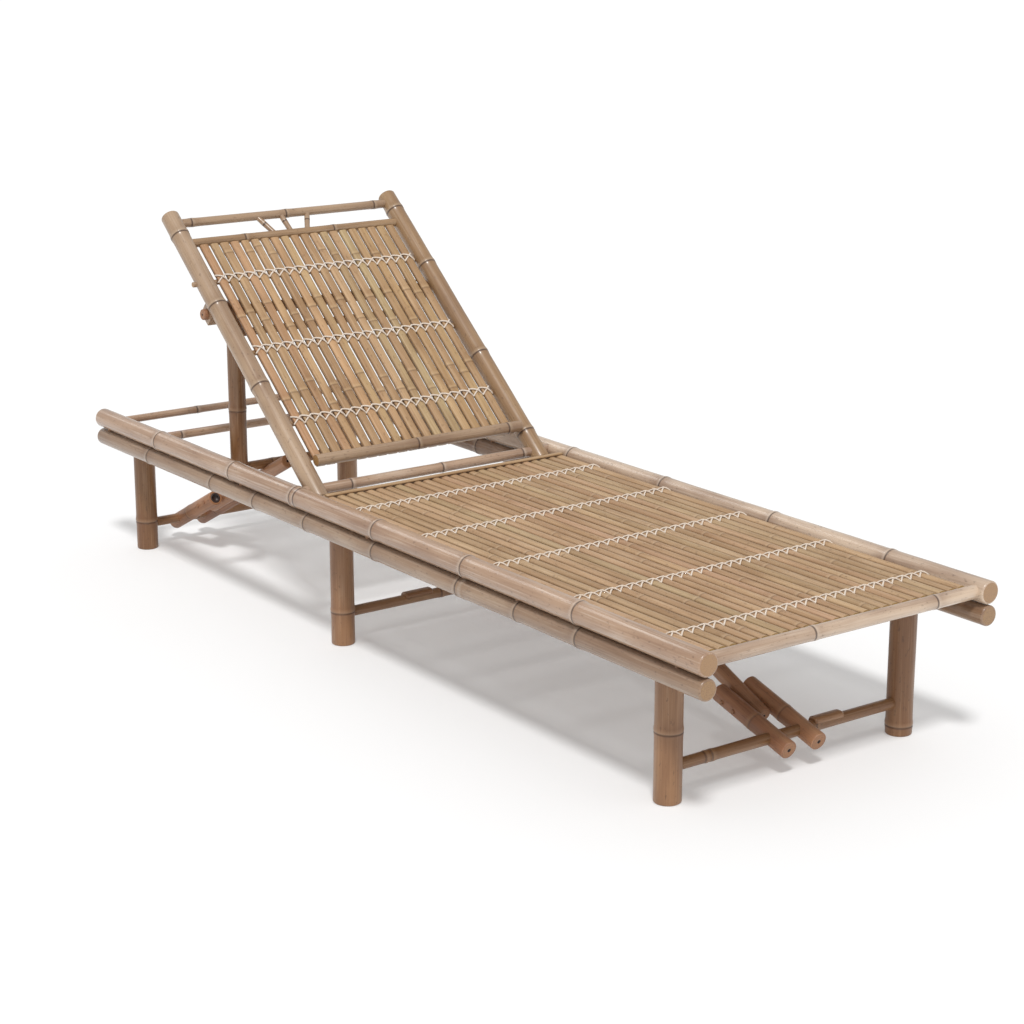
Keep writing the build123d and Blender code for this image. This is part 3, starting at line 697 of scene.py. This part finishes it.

# %% [markdown]
# ## Prop, legs and braces
# The darker poles carry the lounger. Each leg has one joint, at a height of its own. A brace is a fork of two
# short poles round a stretcher with a longer arm pegged between them, and the cut ends show a pith hole,
# painted dark as the shade inside the hollow; the head fork's wider hole paints its upper end in shade. They
# are culms like the rest, so the same function grows them, and only sizes, tints and holes differ.

# %% Prop and legs
for strut in ("prop_strut_left", "prop_strut_right"):
    culm(strut, lean_of(strut), leg_skin, (118,), rise=1.3, edge=2.5, ring=1.0, waver=0.7,
         sides=32, tint=0.1)
culm("prop_spreader", ACROSS, leg_skin, (90, 300), rise=0.8, sides=24)
culm("prop_axle", ACROSS, dark_skin, (200,), rise=0.8, edge=2.0, pith=0.2, sides=24)
LEGS = {"foot_leg_left": (119, 0.55), "foot_leg_right": (16, 0.25), "middle_leg_left": (64, 0.5),
        "middle_leg_right": (95, 0.5), "head_leg_left": (60, 0.0), "head_leg_right": (130, 0.6)}
for leg, (height, tint) in LEGS.items():
    culm(leg, UPRIGHT, leg_skin, (height,), rise=1.3, edge=3.0, ring=1.0, waver=0.7, sides=36,
         tint=tint)
STRETCHERS = {"foot_stretcher": (60, 74, 300), "middle_stretcher": (210, 380), "head_stretcher": (110, 330)}
for stretcher, joints in STRETCHERS.items():
    culm(stretcher, ACROSS, leg_skin, joints, rise=1.0, sides=24)
print("legs:", ", ".join(LEGS))

# %% Braces
for frame_name in ("foot", "middle", "head"):
    fork, arm = f"{frame_name}_fork", f"{frame_name}_arm"
    # Painted shade: the head fork's pith hole takes 0.7 of the radius, so its dark colour shades most of that
    # cut end.
    culm(fork, lean_of(fork), dark_skin, (85,), rise=0.8, edge=2.0, ring=1.0,
         pith=0.7 if frame_name == "head" else 0.22)
    culm(arm, lean_of(arm), dark_skin, (135,), rise=0.9, edge=2.0, pith=0.2)
    culm(f"{frame_name}_brace_pegs", ACROSS, dark_skin, edge=0.8, waver=0.1, sides=20)
print(f"{len(grown)} pieces grown as culms")


# %% [markdown]
# ## Slat mats
# The seat and the backrest are mats of split cane: each slat is a strip with a flat underside and a rounded
# skin. They are alike but never equal, so a second tree repeats one strip and lets a seeded random number
# change the tint, the width and the place of the joints of each. A slat bulges at its joints, and there the
# gap to its neighbour closes.

# %% What the mats and their lashings share
def slat_row(tree, given):
    """A centred row of points along X, one for each slat."""
    first = add(tree, "ShaderNodeMath", (given["Count"], 1.0), operation="SUBTRACT")
    first = add(tree, "ShaderNodeMath", (first, given["Pitch"]), operation="MULTIPLY")
    first = add(tree, "ShaderNodeMath", (first, -0.5), operation="MULTIPLY")
    first = add(tree, "ShaderNodeCombineXYZ", {"X": first})
    step = add(tree, "ShaderNodeCombineXYZ", {"X": given["Pitch"]})
    return add(tree, "GeometryNodeMeshLine", {
        "Count": given["Count"], "Start Location": first, "Offset": step})


def lay_down(tree, geometry, given):
    """Lean what was made in the XY plane, set it in its place and finish the tree."""
    lean = add(tree, "ShaderNodeCombineXYZ", {"X": given["Lean"]})
    lean = add(tree, "FunctionNodeEulerToRotation", {"Euler": lean})
    geometry = add(tree, "GeometryNodeTransform", {
        "Geometry": geometry, "Translation": given["Place"], "Rotation": lean})
    finish_tree(tree, geometry, given["Material"])


seat_slats, back_slats = islands("seat_slats"), islands("back_slats")
print(f"slats to repeat: {len(seat_slats)} on the seat and {len(back_slats)} on the backrest")

# %% The mat tree: a row of strips
SLAT_SIDES = 14
THREAD = 1 * MM              # the strips are swept this thin at first
MAT, given = start_tree("Split cane mat", {
    "Count": "Int", "Pitch": "Float", "Width": "Float", "Height": "Float", "Length": "Float",
    "Stations": "Int", "Joint Spacing": "Float", "Joint Scatter": "Float", "Joint Rise": "Float",
    "Width Scatter": "Float", "Waver": "Float", "Flatness": "Float", "Seed": "Int", "Place": "Vector",
    "Lean": "Float", "Material": "Material"})
number = add(MAT, "GeometryNodeInputIndex")
spot = add(MAT, "ShaderNodeSeparateXYZ", (add(MAT, "GeometryNodeInputPosition"),))
marks = {"slat_x": spot.outputs["X"], "slat_number": number}
draws = {"tint": (0.0, 1.0), "start": (0.0, given["Joint Scatter"]), "stretch": (0.9, 1.12),
         "widen": (0.0, given["Width Scatter"]), "depth": (0.0, 1.0)}
for shift, (label, (low, high)) in enumerate(draws.items(), start=1):
    seed = add(MAT, "ShaderNodeMath", (given["Seed"], shift), operation="ADD")
    draw = add(MAT, "FunctionNodeRandomValue", {
        2: low, 3: high, "ID": number, "Seed": seed}, data_type="FLOAT")
    marks[label] = draw.outputs[1]
row = slat_row(MAT, given)
for label, value in marks.items():
    row = add(MAT, "GeometryNodeStoreNamedAttribute", {"Geometry": row, "Name": label, "Value": value})
end = add(MAT, "ShaderNodeCombineXYZ", {"Y": given["Length"]})
strip = add(MAT, "GeometryNodeCurvePrimitiveLine", {"End": end})
strip = add(MAT, "GeometryNodeResampleCurve", {"Curve": strip, "Count": given["Stations"]})
length = add(MAT, "GeometryNodeSplineParameter").outputs["Length"]
strip = add(MAT, "GeometryNodeStoreNamedAttribute", {"Geometry": strip, "Name": "along", "Value": length})
strips = add(MAT, "GeometryNodeInstanceOnPoints", {"Points": row, "Instance": strip})
strips = add(MAT, "GeometryNodeRealizeInstances", {"Geometry": strips})
mat = add(MAT, "GeometryNodeCurveToMesh", {
    "Curve": strips, "Profile Curve": marked_ring(MAT, SLAT_SIDES), "Scale": THREAD, "Fill Caps": True})
print("each strip carries", ", ".join(marks))

# %% The mat tree: the joints of each slat
SLAT_WAVE = 120 * MM
SLAT_APART = 0.7             # metres between neighbours in the noise, so that each wavers in its own way
along, slat, stretch, begin, run, slat_x, widen, depth = (
    add(MAT, "GeometryNodeInputNamedAttribute", {"Name": label}).outputs[0]
    for label in ("along", "slat_number", "stretch", "start", "run", "slat_x", "widen", "depth"))
so_far = add(MAT, "ShaderNodeMath", (along, stretch, begin), operation="MULTIPLY_ADD")
mat = add(MAT, "GeometryNodeStoreNamedAttribute", {"Geometry": mat, "Name": "run", "Value": so_far})
half_gap = add(MAT, "ShaderNodeMath", (given["Joint Spacing"], 0.5), operation="MULTIPLY")
half_back = add(MAT, "ShaderNodeMath", (half_gap, -1.0), operation="MULTIPLY")
signed = add(MAT, "ShaderNodeMath", (run, half_gap, half_back), operation="WRAP")
bulge = add(MAT, "ShaderNodeMath", (joint_ridge(MAT, signed), given["Joint Rise"]), operation="MULTIPLY")
lane = add(MAT, "ShaderNodeMath", (slat, SLAT_APART), operation="MULTIPLY")
lane = add(MAT, "ShaderNodeCombineXYZ", {"X": along, "Y": lane})
drift = add(MAT, "ShaderNodeTexNoise", {"Vector": lane, "Scale": 1 / SLAT_WAVE, "Detail": 1.0})
sway = add(MAT, "ShaderNodeMath", (drift.outputs["Fac"], 0.5), operation="SUBTRACT")
sway = add(MAT, "ShaderNodeMath", (sway, given["Waver"]), operation="MULTIPLY")
print(f"joints and waver: {len(MAT.nodes)} nodes")

# %% The mat tree: the shape of a slat
CROWN_RISE = 0.4             # a joint raises the crown by this share of what it adds to each side
DEPTH_SCATTER = 0.9 * MM     # slats lie lower than the highest by up to this much
around = add(MAT, "GeometryNodeInputNamedAttribute", {"Name": "around"}, data_type="FLOAT_VECTOR").outputs[0]
ring_at = add(MAT, "ShaderNodeSeparateXYZ", (around,)).outputs
half = add(MAT, "ShaderNodeMath", (bulge, widen), operation="ADD")
half = add(MAT, "ShaderNodeMath", (given["Width"], 0.5, half), operation="MULTIPLY_ADD")
side = add(MAT, "ShaderNodeMath", (slat_x, sway), operation="ADD")
side = add(MAT, "ShaderNodeMath", (ring_at["X"], half, side), operation="MULTIPLY_ADD")
lower = add(MAT, "ShaderNodeMath", (depth, DEPTH_SCATTER), operation="MULTIPLY")
crown = add(MAT, "ShaderNodeMath", (bulge, CROWN_RISE, given["Height"]), operation="MULTIPLY_ADD")
crown = add(MAT, "ShaderNodeMath", (crown, lower), operation="SUBTRACT")
dome = add(MAT, "ShaderNodeMath", (ring_at["Y"], 0.0), operation="MAXIMUM")
dome = add(MAT, "ShaderNodeMath", (dome, given["Flatness"]), operation="POWER")
up = add(MAT, "ShaderNodeMath", (dome, crown), operation="MULTIPLY")
spot = add(MAT, "ShaderNodeCombineXYZ", {"X": side, "Y": along, "Z": up})
mat = add(MAT, "GeometryNodeSetPosition", {"Geometry": mat, "Position": spot})
print(f"shape of a slat: {len(MAT.nodes)} nodes")

# %% The mat tree: what the finish reads
SLAT_GAP = 1.37              # metres of fibre between one slat and the next
SLAT_CAP = 0.5               # a slat's cut end is plain wood all over
CUT_FACING = 0.9             # faces that look along the slat are cut ends
across = add(MAT, "ShaderNodeMath", (ring_at["X"], half), operation="MULTIPLY")
onward = add(MAT, "ShaderNodeMath", (slat, SLAT_GAP, along), operation="MULTIPLY_ADD")
culm_co = add(MAT, "ShaderNodeCombineXYZ", {"X": across, "Y": up, "Z": onward})
mat = add(MAT, "GeometryNodeStoreNamedAttribute", {
    "Geometry": mat, "Name": "culm_co", "Value": culm_co}, data_type="FLOAT_VECTOR")
mat = add(MAT, "GeometryNodeStoreNamedAttribute", {"Geometry": mat, "Name": "cap", "Value": SLAT_CAP})
facing = add(MAT, "ShaderNodeSeparateXYZ", (add(MAT, "GeometryNodeInputNormal"),)).outputs["Y"]
cut = add(MAT, "ShaderNodeMath", (facing,), operation="ABSOLUTE")
cut = add(MAT, "ShaderNodeMath", (cut, CUT_FACING), operation="GREATER_THAN")
mat = add(MAT, "GeometryNodeStoreNamedAttribute", {
    "Geometry": mat, "Name": "end_face", "Value": cut}, domain="FACE")
end_face = add(MAT, "GeometryNodeInputNamedAttribute", {"Name": "end_face"}).outputs[0]
long_sides = add(MAT, "ShaderNodeMath", (1.0, end_face), operation="SUBTRACT")
mat = add(MAT, "GeometryNodeSetShadeSmooth", {"Geometry": mat, "Selection": long_sides})
lay_down(MAT, mat, given)
print(f"mat tree with {len(MAT.nodes)} nodes")


# %% The seat's mat
def points_along(name, places):
    """A mesh of loose points on the Y axis."""
    mesh = bpy.data.meshes.new(name)
    mesh.from_pydata([(0, place, 0) for place in places], [], [])
    return mesh


seat_low, seat_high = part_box("seat_slats")
seat_pitch = (seat_slats[-1].mean(0)[0] - seat_slats[0].mean(0)[0]) / (len(seat_slats) - 1)
seat_width = np.ptp(seat_slats[0][:, 0])
seat_height = seat_high.z - seat_low.z
seat_place = Vector((0, seat_low.y, seat_low.z))
seat_mat = grow(
    "seat_slat_mat", MAT, points_along("seat", [0]), count=len(seat_slats), pitch=seat_pitch,
    width=seat_width, height=seat_height, length=seat_high.y - seat_low.y, stations=170,
    joint_spacing=SEAT_JOINTS, joint_scatter=2.0, joint_rise=0.8 * MM, width_scatter=0.55 * MM,
    waver=1.6 * MM, flatness=0.6, seed=11, place=seat_place, lean=0.0, material=seat_skin)
dress(seat_mat, "seat_slats")
print(f"{len(seat_slats)} seat slats {seat_pitch / MM:.1f} mm apart")

# %% The backrest's mat
BACK_START = 3 * MM          # the lower ends stay hidden behind the bottom bar
BACK_WIDER = 0.6 * MM        # slats of the backrest lie closer together than in the CAD model
back_points = np.concatenate(back_slats)
back_reach = back_points @ np.array(UP_BACK)
back_rise = back_points @ np.array(OUT_OF_BACK)
back_pitch = (back_slats[-1].mean(0)[0] - back_slats[0].mean(0)[0]) / (len(back_slats) - 1)
back_width = np.ptp(back_slats[0][:, 0])
back_height = float(np.ptp(back_rise))
back_foot = float(back_reach.min()) + BACK_START
back_place = UP_BACK * back_foot + OUT_OF_BACK * float(back_rise.min())
back_mat = grow(
    "back_slat_mat", MAT, points_along("back", [0]), count=len(back_slats), pitch=back_pitch,
    width=back_width + BACK_WIDER, height=back_height, length=float(np.ptp(back_reach)) - BACK_START,
    stations=100, joint_spacing=BACK_JOINTS, joint_scatter=70 * MM, joint_rise=1.0 * MM,
    width_scatter=1.2 * MM, waver=2.0 * MM, flatness=0.3, seed=5, place=back_place, lean=BACK_LEAN,
    material=mat_skin)
dress(back_mat, "back_slats")
print(f"{len(back_slats)} back slats {back_pitch / MM:.1f} mm apart")

# %% [markdown]
# ## Lashings
# Twisted off-white cord ties every slat to the bar beneath it: two strands cross on top of the slat and a
# loop goes under the bar. A flat cross would look painted on, so each strand arches over the rounded slat and
# one of the two rides over the other. The tree makes one tie and repeats it along each row.

# %% The cord's finish
STRAND_PITCH = 5 * MM        # one turn of the twist; drawn coarser than real so that it shows
PLIES = 2
SOIL = 9 * MM                # size of a soiled patch
# Raw cotton twisted from two plies: matt off-white with a soft edge, painted shade slanting along the grooves
# between the plies and slightly soiled patches.
cord_skin = bpy.data.materials.new("twisted_cotton_cord")
cord_skin.use_nodes = True
cord = cord_skin.node_tree
cord.nodes.clear()
cord_co = add(cord, "ShaderNodeAttribute", attribute_name="cord_co").outputs["Vector"]
spot = add(cord, "ShaderNodeSeparateXYZ", (cord_co,)).outputs
turn = add(cord, "ShaderNodeMath", (spot["Y"], spot["X"]), operation="ARCTAN2")
twist = add(cord, "ShaderNodeMath", (spot["Z"], 2 * math.pi / STRAND_PITCH, turn), operation="MULTIPLY_ADD")
twist = add(cord, "ShaderNodeMath", (twist, PLIES), operation="MULTIPLY")
ply = add(cord, "ShaderNodeMath", (twist,), operation="SINE")
ply = add(cord, "ShaderNodeMath", (ply, 0.5, 0.5), operation="MULTIPLY_ADD")
# Painted shade: the colour darkens in the grooves between the plies, where the twist dips.
colour = add(cord, "ShaderNodeMix", {
    0: ply, 6: linear("#CDB9A3"), 7: linear("#F4EBE1")}, data_type="RGBA").outputs[2]
place = add(cord, "ShaderNodeTexCoord").outputs["Object"]
soil = add(cord, "ShaderNodeTexNoise", {"Vector": place, "Scale": 1 / SOIL, "Detail": 3.0}).outputs["Fac"]
colour = lay_over(cord, colour, [(soil, (0.5, 0.75), (0.0, 0.5), linear("#CDB59B"))])
bump = add(cord, "ShaderNodeBump", {"Strength": 0.6, "Distance": 0.5 * MM, "Height": ply})
shader = add(cord, "ShaderNodeBsdfPrincipled", {
    "Base Color": colour, "Normal": bump, "Roughness": 0.85, "Sheen Weight": 0.15})
add(cord, "ShaderNodeOutputMaterial", {"Surface": shader})
print("cord finish:", cord_skin.name)

# %% The lashing tree: a strand over the slat
STRAND_POINTS = 7
SHOULDER = 0.62              # how much a strand falls towards the slat's edge
PRESSED = 0.55               # share of its radius by which a strand's centre stands above the slat
CROSSING = 4.0               # how short the hump is where one strand rides over the other
TUCK = 0.25                  # how deep the strand dips into the gap, as a share of the slat's height
LASHING, given = start_tree("Crossed lashing", {
    "Count": "Int", "Pitch": "Float", "Height": "Float", "Reach": "Float", "Bar": "Float", "Cord": "Float",
    "Place": "Vector", "Lean": "Float", "Material": "Material"})
half_pitch = add(LASHING, "ShaderNodeMath", (given["Pitch"], 0.5), operation="MULTIPLY")
radius = add(LASHING, "ShaderNodeMath", (given["Cord"], 0.5), operation="MULTIPLY")
line = add(LASHING, "GeometryNodeCurvePrimitiveLine", {"Start": (-1, 0, 0), "End": (1, 0, 0)})
line = add(LASHING, "GeometryNodeResampleCurve", {"Curve": line, "Count": STRAND_POINTS})
t = add(LASHING, "ShaderNodeSeparateXYZ", (add(LASHING, "GeometryNodeInputPosition"),)).outputs["X"]
square = add(LASHING, "ShaderNodeMath", (t, t), operation="MULTIPLY")
dome = add(LASHING, "ShaderNodeMath", (square, SHOULDER), operation="MULTIPLY")
dome = add(LASHING, "ShaderNodeMath", (1.0, dome), operation="SUBTRACT")
dome = add(LASHING, "ShaderNodeMath", (dome, 0.0), operation="MAXIMUM")
dome = add(LASHING, "ShaderNodeMath", (dome,), operation="SQRT")
top = add(LASHING, "ShaderNodeMath", (radius, PRESSED), operation="MULTIPLY")
top = add(LASHING, "ShaderNodeMath", (dome, given["Height"], top), operation="MULTIPLY_ADD")
hump = add(LASHING, "ShaderNodeMath", (square, CROSSING), operation="MULTIPLY")
hump = add(LASHING, "ShaderNodeMath", (1.0, hump), operation="SUBTRACT")
hump = add(LASHING, "ShaderNodeMath", (hump, 0.0), operation="MAXIMUM")
hump = add(LASHING, "ShaderNodeMath", (hump, radius), operation="MULTIPLY")
dip = add(LASHING, "ShaderNodeMath", (square, 3.0), operation="POWER")
dip = add(LASHING, "ShaderNodeMath", (dip, given["Height"]), operation="MULTIPLY")
dip = add(LASHING, "ShaderNodeMath", (dip, TUCK), operation="MULTIPLY")
print(f"height of a strand: {len(LASHING.nodes)} nodes")

# %% The lashing tree: two crossed strands and a loop
RIDES_OVER = 1.3             # the upper strand's hump, in radii
side = add(LASHING, "ShaderNodeMath", (t, half_pitch), operation="MULTIPLY")
spots = []
for way, lift in ((1.0, 0.0), (-1.0, RIDES_OVER)):
    forward = add(LASHING, "ShaderNodeMath", (given["Reach"], way), operation="MULTIPLY")
    forward = add(LASHING, "ShaderNodeMath", (t, forward), operation="MULTIPLY")
    height = add(LASHING, "ShaderNodeMath", (hump, lift, top), operation="MULTIPLY_ADD")
    height = add(LASHING, "ShaderNodeMath", (height, dip), operation="SUBTRACT")
    spots.append(add(LASHING, "ShaderNodeCombineXYZ", (side, forward, height)))
turn = add(LASHING, "ShaderNodeMath", (t, math.pi / 2), operation="MULTIPLY")
forward = add(LASHING, "ShaderNodeMath", (turn,), operation="SINE")
forward = add(LASHING, "ShaderNodeMath", (forward, given["Reach"]), operation="MULTIPLY")
deep = add(LASHING, "ShaderNodeMath", (given["Bar"], 2.0, radius), operation="MULTIPLY_ADD")
height = add(LASHING, "ShaderNodeMath", (turn,), operation="COSINE")
height = add(LASHING, "ShaderNodeMath", (height, deep), operation="MULTIPLY")
height = add(LASHING, "ShaderNodeMath", (height, -1.0), operation="MULTIPLY")
spots.append(add(LASHING, "ShaderNodeCombineXYZ", (half_pitch, forward, height)))
tie = add(LASHING, "GeometryNodeJoinGeometry")
for spot in spots:
    strand = add(LASHING, "GeometryNodeSetPosition", {"Geometry": line, "Position": spot})
    LASHING.links.new(strand.outputs[0], tie.inputs[0])
print(f"one tie has {len(spots)} strands of {STRAND_POINTS} points")

# %% The lashing tree: round cord in rows
CORD_SIDES = 5
length = add(LASHING, "GeometryNodeSplineParameter").outputs["Length"]
tie = add(LASHING, "GeometryNodeStoreNamedAttribute", {"Geometry": tie, "Name": "along", "Value": length})
tie = add(LASHING, "GeometryNodeCurveToMesh", {
    "Curve": tie, "Profile Curve": marked_ring(LASHING, CORD_SIDES), "Scale": radius, "Fill Caps": True})
along = add(LASHING, "GeometryNodeInputNamedAttribute", {"Name": "along"}).outputs[0]
around = add(LASHING, "GeometryNodeInputNamedAttribute", {"Name": "around"}, data_type="FLOAT_VECTOR")
onward = add(LASHING, "ShaderNodeCombineXYZ", {"Z": along})
cord_co = add(LASHING, "ShaderNodeVectorMath", (around.outputs[0], onward), operation="ADD")
tie = add(LASHING, "GeometryNodeStoreNamedAttribute", {
    "Geometry": tie, "Name": "cord_co", "Value": cord_co}, data_type="FLOAT_VECTOR")
tie = add(LASHING, "GeometryNodeSetShadeSmooth", {"Geometry": tie})
row = slat_row(LASHING, given)
rows = add(LASHING, "GeometryNodeInstanceOnPoints", {"Points": given["Geometry"], "Instance": row})
rows = add(LASHING, "GeometryNodeRealizeInstances", {"Geometry": rows})
ties = add(LASHING, "GeometryNodeInstanceOnPoints", {"Points": rows, "Instance": tie})
ties = add(LASHING, "GeometryNodeRealizeInstances", {"Geometry": ties})
lay_down(LASHING, ties, given)
print(f"lashing tree with {len(LASHING.nodes)} nodes")


# %% Ties on the seat and the backrest
def middle(node):
    """The middle of a CAD node's box."""
    low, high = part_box(node)
    return (low + high) / 2


SEAT_CORD, SEAT_REACH, SEAT_BAR = 3.1 * MM, 8.5 * MM, 8 * MM      # cord, half a tie and the bar's radius
BACK_CORD, BACK_REACH, BACK_BAR = 3.6 * MM, 9.5 * MM, 5.5 * MM
seat_rows = [middle(f"seat_bar_{number}").y - seat_low.y for number in range(1, 6)]
seat_ties = grow(
    "seat_cord_ties", LASHING, points_along("seat_rows", seat_rows), count=len(seat_slats), pitch=seat_pitch,
    height=seat_height, reach=SEAT_REACH, bar=SEAT_BAR, cord=SEAT_CORD, place=seat_place, lean=0.0,
    material=cord_skin)
dress(seat_ties, "seat_lashings")
back_rows = [middle(f"back_bar_{number}").dot(UP_BACK) - back_foot for number in (1, 2, 3)]
back_ties = grow(
    "back_cord_ties", LASHING, points_along("back_rows", back_rows), count=len(back_slats), pitch=back_pitch,
    height=back_height, reach=BACK_REACH, bar=BACK_BAR, cord=BACK_CORD, place=back_place, lean=BACK_LEAN,
    material=cord_skin)
dress(back_ties, "back_lashings")
print(f"{len(seat_rows)} rows of ties on the seat and {len(back_rows)} on the backrest")

# %% [markdown]
# ## Strip, keepers, blocks and dowels
# A flat strip of cane closes the rear ends of the seat slats, and a saddled plate of split bamboo sits on two
# of the stretchers. Both are bars with a crowned top whose ends are worn thin, so one function makes them
# from the box of the CAD node. The bearing blocks and the dowels have the right shape in the CAD model
# already, so they keep it and only take a finish that reads their own coordinates.

# %% Crowned bars
CROWN = ((-1, 0), (-1, 0.45), (-0.85, 0.8), (-0.45, 0.96), (0, 1), (0.45, 0.96), (0.85, 0.8), (1, 0.45),
         (1, 0))
SADDLE = ((0.75, 0), (0.5, 0.327), (0.25, 0.47), (0, 0.515), (-0.25, 0.47), (-0.5, 0.327), (-0.75, 0))
BAR_STEPS = 90
JOINT_WIDTH = 6 * MM
DRIFT = 0.6 * MM
DRIFT_WAVES = 21             # radians per metre
WORN_END = 0.8               # what is left of the width and the height at an end
SLIM = 0.94                  # the width between joints, as a share of that at a joint


def crowned_bar(node, profile, wear, joints, skin):
    """A bar along X in a node's box. Wear is how far the worn ends reach; joints are places on X."""
    low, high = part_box(node)
    half, centre, height = (high.y - low.y) / 2, (high.y + low.y) / 2, high.z - low.z
    shell = bmesh.new()
    rings = []
    for number in range(BAR_STEPS + 1):
        share = number / BAR_STEPS
        x = low.x + (high.x - low.x) * share
        ends = min(1.0, WORN_END + (1 - WORN_END) * min(share, 1 - share) * (high.x - low.x) / wear)
        joint = sum(math.exp(-((x - place) / JOINT_WIDTH) ** 2) for place in joints)
        y0 = centre + DRIFT * math.sin(DRIFT_WAVES * x + 1.0)
        width = (half - DRIFT) * ends * (SLIM + (1 - SLIM) * min(joint, 1.0))
        rings.append([shell.verts.new((x, y0 + y * width, low.z + z * height * ends)) for y, z in profile])
    for one, two in zip(rings, rings[1:]):
        for index in range(len(profile)):
            after = (index + 1) % len(profile)
            shell.faces.new((one[index], two[index], two[after], one[after]))
    shell.faces.new(rings[0])
    shell.faces.new(reversed(rings[-1]))
    bmesh.ops.recalc_face_normals(shell, faces=shell.faces)
    for face in shell.faces:
        face.smooth = len(face.verts) == 4
    mesh = bpy.data.meshes.new(f"{node}_cane")
    shell.to_mesh(mesh)
    shell.free()
    mesh.materials.append(skin)
    bar = bpy.data.objects.new(f"{node}_cane", mesh)
    bpy.context.scene.collection.objects.link(bar)
    return dress(bar, node)


# The seat's bare cane laid across: as matt and as straw-coloured as the slats that it closes.
strip_skin = bamboo("split_strip_cane", turn=ALONG_X, **seat_look)
crowned_bar("rear_strip", CROWN, 3 * MM, (-0.17, 0.06, 0.24), strip_skin)
for keeper in ("foot_keeper", "middle_keeper"):
    crowned_bar(keeper, CROWN + SADDLE, 4 * MM, (), keeper_skin)
print("crowned bars: rear_strip, foot_keeper, middle_keeper")

# %% Kept CAD shapes
for node, skin in {"axle_blocks": block_skin, "rail_dowels": dowel_skin, "prop_pegs": dowel_skin}.items():
    nodes[node].data.materials.clear()
    nodes[node].data.materials.append(skin)
print("kept CAD shapes: axle_blocks, rail_dowels, prop_pegs")

# %% [markdown]
# ## Floor and light
# A plain white floor and soft light, as in a product photograph. One broad lamp in front on the left, high
# up, throws a soft shadow back to the right, and a white sky fills the rest. A sun lamp keeps the floor
# evenly white out to the horizon, and its wide angle gives the soft edge of a large lamp. A second, weak one
# from behind only draws the line of gloss along the varnished rails, so it throws no shadow and lights no
# matt surface. The standard view shows the hex colours as they are written.

# %% Floor and sky
FLOOR_HALF = 90
FLOOR_CORNERS = ((-1, -1), (1, -1), (1, 1), (-1, 1))
FLOOR_GLOW = 0.22            # the paper glows a little, as when it is lit from below, and shadows stay pale
SKY = 0.6
floor_mesh = bpy.data.meshes.new("floor")
floor_mesh.from_pydata([(x * FLOOR_HALF, y * FLOOR_HALF, 0) for x, y in FLOOR_CORNERS], [], [(0, 1, 2, 3)])
floor = bpy.data.objects.new("floor", floor_mesh)
bpy.context.scene.collection.objects.link(floor)
# White background paper, uncoated: matt and without a pattern, so that only the shadow shows on it.
paper = bpy.data.materials.new("white_paper_floor")
paper.use_nodes = True
paper.node_tree.nodes.clear()
paper_shader = add(paper.node_tree, "ShaderNodeBsdfPrincipled", {
    "Base Color": linear("#DCDCDC"), "Roughness": 0.9,
    "Emission Color": linear("#FFFFFF"), "Emission Strength": FLOOR_GLOW})
add(paper.node_tree, "ShaderNodeOutputMaterial", {"Surface": paper_shader})
floor_mesh.materials.append(paper)

studio = bpy.data.worlds.new("studio")
studio.use_nodes = True
studio.node_tree.nodes.clear()
air = add(studio.node_tree, "ShaderNodeBackground", {"Color": linear("#FFFFFF"), "Strength": SKY})
add(studio.node_tree, "ShaderNodeOutputWorld", {"Surface": air})
bpy.context.scene.world = studio
bpy.context.scene.view_settings.view_transform = "Standard"
print(f"floor {2 * FLOOR_HALF} m wide, sky at {SKY}")

# %% Lamps
LAMPS = {                    # where the light comes from, its strength and its width in degrees
    "broad_lamp": (Vector((-0.32, -0.42, 0.85)), 2.05, 9),
    "streak_lamp": (Vector((-0.06, 0.78, 0.63)), 0.17, 18),
}
for name, (comes_from, strength, degrees) in LAMPS.items():
    lamp = bpy.data.objects.new(name, bpy.data.lights.new(name, "SUN"))
    lamp.data.energy = strength
    lamp.data.angle = math.radians(degrees)
    lamp.rotation_euler = (-comes_from).to_track_quat("-Z", "Y").to_euler()
    lamp.data.use_shadow = name == "broad_lamp"
    lamp.visible_diffuse = name == "broad_lamp"
    bpy.context.scene.collection.objects.link(lamp)
    print(f"{name} {math.degrees(math.asin(comes_from.normalized().z)):.0f} degrees above the floor")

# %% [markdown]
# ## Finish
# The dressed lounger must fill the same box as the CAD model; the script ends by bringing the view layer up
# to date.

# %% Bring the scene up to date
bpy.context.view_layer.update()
